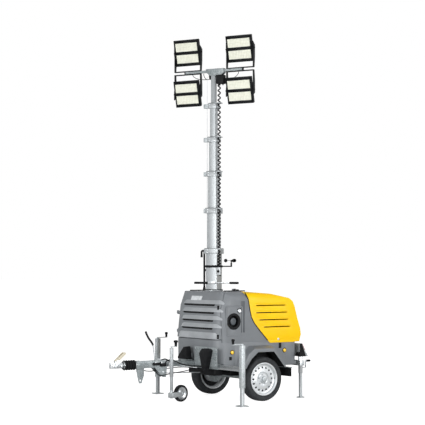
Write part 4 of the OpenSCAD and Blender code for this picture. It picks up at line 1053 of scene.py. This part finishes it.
# Clamping screws where each lamp hangs in its yoke, and those of the head itself
bolts("yoke_screws", [((0, y + out * (hy + lamp["yokeOut"]), z), (0, out, 0)) for y, z in spots for out in sides],
      lamp["yokeScrew"], "mast_6", "black_paint", place=onMast, turn=mastTurn)
bolts("head_screws", [((side * lamp["headScrewX"], y, z), (side, 0, 0)) for side in sides
                      for y in lamp["headScrewY"] for z in lamp["headScrewZ"]],
      lamp["headScrew"], "mast_6", look=weatheredSteel, place=onMast, turn=mastTurn)

# Junction box with its glands, the crossbar's end caps, and the lamp leads down to the boot beside the mast
softened("junction_box", 6, 3)
head = {
    "glands": ((-30, -150), (-5, -90), (-30, -85)), "glandZ": 4215,
    "gland": ((0, 0), (11, 0), (11, 6), (8.5, 8), (8.5, 18), (0, 18)),
    "capHalf": (21, 6, 21), "capY": 430, "leadRadius": 4.2, "boot": (30, 66, 4372),
    "bootShape": ((0, 0), (20, 0), (21, 30), (17, 60), (10, 78), (0, 80)),
    "leads": (
        ((55, -300, 4440), (45, -335, 4425), (40, -350, 4392), (50, -330, 4340), (60, -260, 4300), (50, -190, 4296)),
        ((55, 300, 4440), (45, 330, 4425), (40, 345, 4392), (50, 320, 4345), (60, 240, 4312), (45, 120, 4300),
         (30, 60, 4305)),
        ((50, 180, 4385), (58, 168, 4335), (50, 125, 4300), (35, 75, 4305))),
}
built("junction_glands", "black_plastic", [turned(onMast(x, y, head["glandZ"]), (0, 0, -1), head["gland"], 12)
                                           for x, y in head["glands"]], "mast_6")
capX, capY, capZ = head["capHalf"]
built("crossbar_caps", "black_plastic", [
    boxed((-capX, y - capY, lamp["z"] - capZ), (capX, y + capY, lamp["z"] + capZ), onMast)
    for y in (-head["capY"], head["capY"])], "mast_6", width=2)
built("lamp_leads", "black_rubber", [rod(path, head["leadRadius"], 8, place=onMast) for path in head["leads"]],
      "mast_6")
built("lead_boot", "black_rubber", [turned(onMast(*head["boot"]), (0, 0, -1), head["bootShape"], 20)], "mast_6")
print("mast head: yokes, floodlights and their optics")

# Drawbar and coupling
for node in ("drawbar_beam", "overrun_housing"):
    softened(node, 3, look=weatheredSteel)
for node in ("coupling_head", "coupling_handle"):
    softened(node, 4, 3)
forward = (1, 0, 0)
bellows = {"front": -1759, "length": 183, "ribs": 5, "crest": 65, "root": 44, "z": 502, "bands": (-1754, -1581),
           "band": ((46.5, -5), (49.5, -5), (49.5, 5), (46.5, 5)), "stepsPerRib": 8}


def bellowsProfile():
    length, steps = bellows["length"], bellows["stepsPerRib"]
    pitch = length / bellows["ribs"]
    mid = (bellows["crest"] + bellows["root"]) / 2
    swing = (bellows["crest"] - bellows["root"]) / 2
    profile = [(0, 0), (46, 0), (48, 2)]
    for i in range(bellows["ribs"] * steps + 1):
        wave = -math.cos(2 * math.pi * i / steps)
        profile.append((mid + swing * math.copysign(abs(wave) ** 0.7, wave), 3 + i * (pitch - 1) / steps))
    return profile + [(46, length), (0, length)]


built("bellows_sleeve", "black_rubber", [
    turned(at(bellows["front"], 0, bellows["z"]), forward, bellowsProfile(), 40)], nodes=["bellows"], angle=60)
built("bellows_bands", "bright_steel", [
    turned(at(x, 0, bellows["z"]), forward, bellows["band"], 40, True) for x in bellows["bands"]])
drawbarBolts = {"overrun": ((-1300, -56, 520), (-1215, -56, 520), (-1190, -56, 400)), "overrunSize": 18,
                "coupling": ((-1880, 37, 500), (-1800, 37, 500)), "couplingSize": 14}
bolts("overrun_bolts", [(spot, (0, -1, 0)) for spot in drawbarBolts["overrun"]], drawbarBolts["overrunSize"])
bolts("coupling_bolts", [((x, side * y, z), (0, side, 0)) for side in sides for x, y, z in drawbarBolts["coupling"]],
      drawbarBolts["couplingSize"])

# Handbrake: a flat bar that turns into a rubber-covered grip, on its pivot
handbrake = {
    "bar": ((-1235, 63, 500), (-1248, 63, 600), (-1260, 63, 690), (-1270, 63, 752)), "barRadius": 8.5,
    "grip": ((-1268, 63, 742), (-1290, 63, 778), (-1330, 63, 826), (-1360, 63, 874), (-1380, 63, 919)),
    "gripRadius": 13.5, "eye": (-1235, 57, 500), "eyeDisc": ((0, 0), (22, 0), (22, 12), (0, 12)),
    "pin": (-1235, 70, 500), "pinShape": ((0, 0), (8.5, 0), (8.5, 8), (0, 9)),
}
built("handbrake_bar", "bright_steel", [
    rod(handbrake["bar"], handbrake["barRadius"], 12),
    turned(at(*handbrake["eye"]), (0, 1, 0), handbrake["eyeDisc"], 28)],
    "handbrake_lever", nodes=["handbrake_lever"])
built("handbrake_grip", "black_rubber", [rod(handbrake["grip"], handbrake["gripRadius"], 14)], "handbrake_lever",
      angle=60)
built("handbrake_pin", "bright_steel", [turned(at(*handbrake["pin"]), (0, 1, 0), handbrake["pinShape"], 16)])

# Jockey wheel: tube in its clamp, stem, fork, and a rubber-tyred wheel on a pressed centre
jockey = {
    "tyre": ((78, -16), (83, -27), (95, -29), (104, -26), (108.5, -18), (109.8, -8)),
    "disc": ((8.5, -30), (22, -30), (24, -12), (50, -6), (70, -14), (79.5, -22), (82, -22)),
    "nutOut": 42.5, "nut": 19, "knob": (-1016, -94, 729), "knobSize": (17.5, 31, 73),
}
for node in ("jockey_tube", "jockey_stem", "jockey_fork"):
    softened(node, look=mastSteel)
jockeyHub = Vector(joints["jockey_spin"]["pos_m"])
jockeyAxis = Vector(joints["jockey_spin"]["axis"])
built("jockey_tyre", "black_rubber", [turned(jockeyHub, jockeyAxis, mirrored(jockey["tyre"]), 56, True)],
      "jockey_wheel", nodes=["jockey_wheel"], angle=50)
built("jockey_centre", "bright_steel", [turned(jockeyHub, jockeyAxis, mirrored(jockey["disc"]), 48, True)],
      "jockey_wheel", angle=30)
bolts("jockey_axle_nuts", [(jockeyAxis * jockey["nutOut"] * side, jockeyAxis * side) for side in sides],
      jockey["nut"], "jockey_fork", place=within(Matrix.Translation(jockeyHub)))


# A crank handle's black knob: a neck that widens to a round mushroom head
def knob(spot, neck, head, long):
    return turned(spot, (0, 0, 1), [
        (0, -1), (neck, -1), (neck, long * 0.35), (neck * 1.05, long * 0.5), (head * 0.86, long * 0.68),
        (head, long * 0.82), (head * 0.86, long * 0.95), (head * 0.5, long * 1.02), (0, long * 1.04)], 24)


built("jockey_crank_knob", "black_plastic", [knob(at(*jockey["knob"]), *jockey["knobSize"])], angle=60)

# Brake rods and cables, the tank under the floor, and the switch box with its loom
under = {
    "rods": ((7, 2, ((-1200, 30, 375), (-900, 20, 372), (-50, 10, 345))),
             (8, 4, ((-980, -30, 470), (-840, -60, 455), (-720, -150, 440)))),
    "cableRadius": 6,
    "cables": (((-1310, -50, 452), (-1280, -62, 380), (-1220, -64, 352), (-1150, -60, 360), (-1020, -40, 374),
                (-860, -45, 392), (-720, -80, 420), (-600, -120, 424)),
               ((-1500, 20, 452), (-1420, 30, 420), (-1300, 40, 408), (-1100, 35, 430), (-900, 40, 440),
                (-700, 60, 428), (-400, 80, 380), (-100, 100, 345))),
    "tank": (((-560, -300, 335), (-420, 300, 429.5)), ((-280, -300, 320), (-70, 300, 429.5)),
             ((-420, -160, 360), (-280, 200, 429.5))), "tankEdge": 12,
    "box": (((-1345, -78, 488), (-1235, -56, 522)), ((-1235, -84, 470), (-1150, -56, 512))), "boxEdge": 5,
    "loomRadius": 8.5,
    "loom": (((-1165, -70, 490), (-1140, -52, 530), (-1085, -38, 546), (-1020, -55, 538), (-960, -120, 500),
              (-860, -230, 470), (-740, -330, 470)),
             ((-1230, -60, 520), (-1190, -30, 552), (-1130, -20, 560), (-1060, 10, 535), (-980, 50, 500),
              (-860, 120, 485), (-740, 180, 480))),
}
built("brake_rod", "bright_steel", [rod(path, radius, 10, steps) for radius, steps, path in under["rods"]])
built("brake_cables", "black_rubber", [rod(path, under["cableRadius"]) for path in under["cables"]])
built("under_tank", "black_plastic", [boxed(*corners) for corners in under["tank"]], width=under["tankEdge"])
built("loom_box", "black_plastic", [boxed(*corners) for corners in under["box"]], width=under["boxEdge"])
built("drawbar_loom", "black_rubber", [rod(path, under["loomRadius"]) for path in under["loom"]])
print("drawbar: bellows, coupling, brake, jockey wheel and cables")

# Chassis, outriggers and jacks
supports = {"plateX": -694, "plateY": (-545, -330, -75), "plateZ": (495, 690), "plateBolt": 13,
            "outrigger": 2.5, "platedWithin": 930, "knob": (-608, 1003, 783), "knobIn": 140,
            "knobSize": (14.8, 22.5, 66), "jackY": 529, "jackGrip": (796, 490),
            "grip": ((0, 0), (13.8, 0), (14.8, 6), (14.8, 64), (12, 74), (0, 74)),
            "gearbox": ((667, -42, 553.5, 739, -32.5, 606), (667, 32.5, 553.5, 739, 42, 606),
                        (661, -42, 553.5, 670, 42, 606), (736, -42, 553.5, 745, 42, 606),
                        (661, -42, 600, 745, 42, 608))}
softened("chassis_frame", 3, look=weatheredSteel)
bolts("front_plate_bolts", [((supports["plateX"], y, z), (-1, 0, 0)) for y in supports["plateY"]
                            for z in supports["plateZ"]], supports["plateBolt"])
softened("chocks", 6, 3)
knobX, knobY, knobZ = supports["knob"]
for side, name in zip(sides, ("near", "far")):
    softened("outrigger_" + name, supports["outrigger"], second=(
        platedSteel, lambda spot, normal: abs(spot.y) < supports["platedWithin"]))
    softened("jack_leg_" + name, look=mastSteel)
    built("outrigger_knob_" + name, "black_plastic", [
        knob(at(knobX + side * supports["knobIn"], side * knobY, knobZ), *supports["knobSize"])],
        "outrigger_" + name, angle=60)
softened("rear_jack_tubes")
for name in ("near", "far"):
    softened("rear_leg_" + name, look=mastSteel)
jackBoxes, jackGrips = [], []
for side in sides:
    y = side * supports["jackY"]
    jackBoxes += [boxed((x0, y + y0, z0), (x1, y + y1, z1)) for x0, y0, z0, x1, y1, z1 in supports["gearbox"]]
    jackGrips.append(turned(at(supports["jackGrip"][0], y, supports["jackGrip"][1]), forward, supports["grip"], 20))
built("rear_jack_gearboxes", "black_plastic", jackBoxes, width=2)
built("rear_jack_grips", "black_rubber", jackGrips, angle=50)

# Lights: round amber markers, and a sloping board with two lamp clusters
marker = {"x": (-425, 434), "y": 524, "z": 646, "rim": ((24, 0), (31, 0), (31, 4), (27.5, 7.5), (24, 6.5)),
          "lens": ((0, 1), (24.5, 1), (24.5, 7), (21.5, 11.5), (20.5, 10.5), (15, 13.5), (14, 12.5), (7, 15),
                   (0, 15.2))}
board = {"y": (475.2, 479.2), "side": ((734.5, 544.5), (734.5, 722.5), (772, 722.5), (842, 544.5))}
markerSpots = [(at(x, side * marker["y"], marker["z"]), (0, side, 0)) for side in sides for x in marker["x"]]
built("marker_lenses", "amber_lens", [turned(*spot, marker["lens"], 36) for spot in markerSpots],
      nodes=["marker_lamps"], angle=30)
built("marker_rims", "black_rubber", [turned(*spot, marker["rim"], 36, True) for spot in markerSpots])
softened("light_board")
softened("tail_lamps", 3, 3)
built("light_board_sides", "black_plastic", [
    strung([[at(x, side * y, z) for x, z in board["side"]] for y in board["y"]]) for side in sides], width=1)
softened("mud_flaps")
softened("power_unit", 6)
controlBlock = {"corners": ((-470, -529, 545), (-430, -523, 590)), "edge": 2}
built("control_block", "black_plastic", [boxed(*controlBlock["corners"])], width=controlBlock["edge"])
print("chassis: supports, lights and plates")
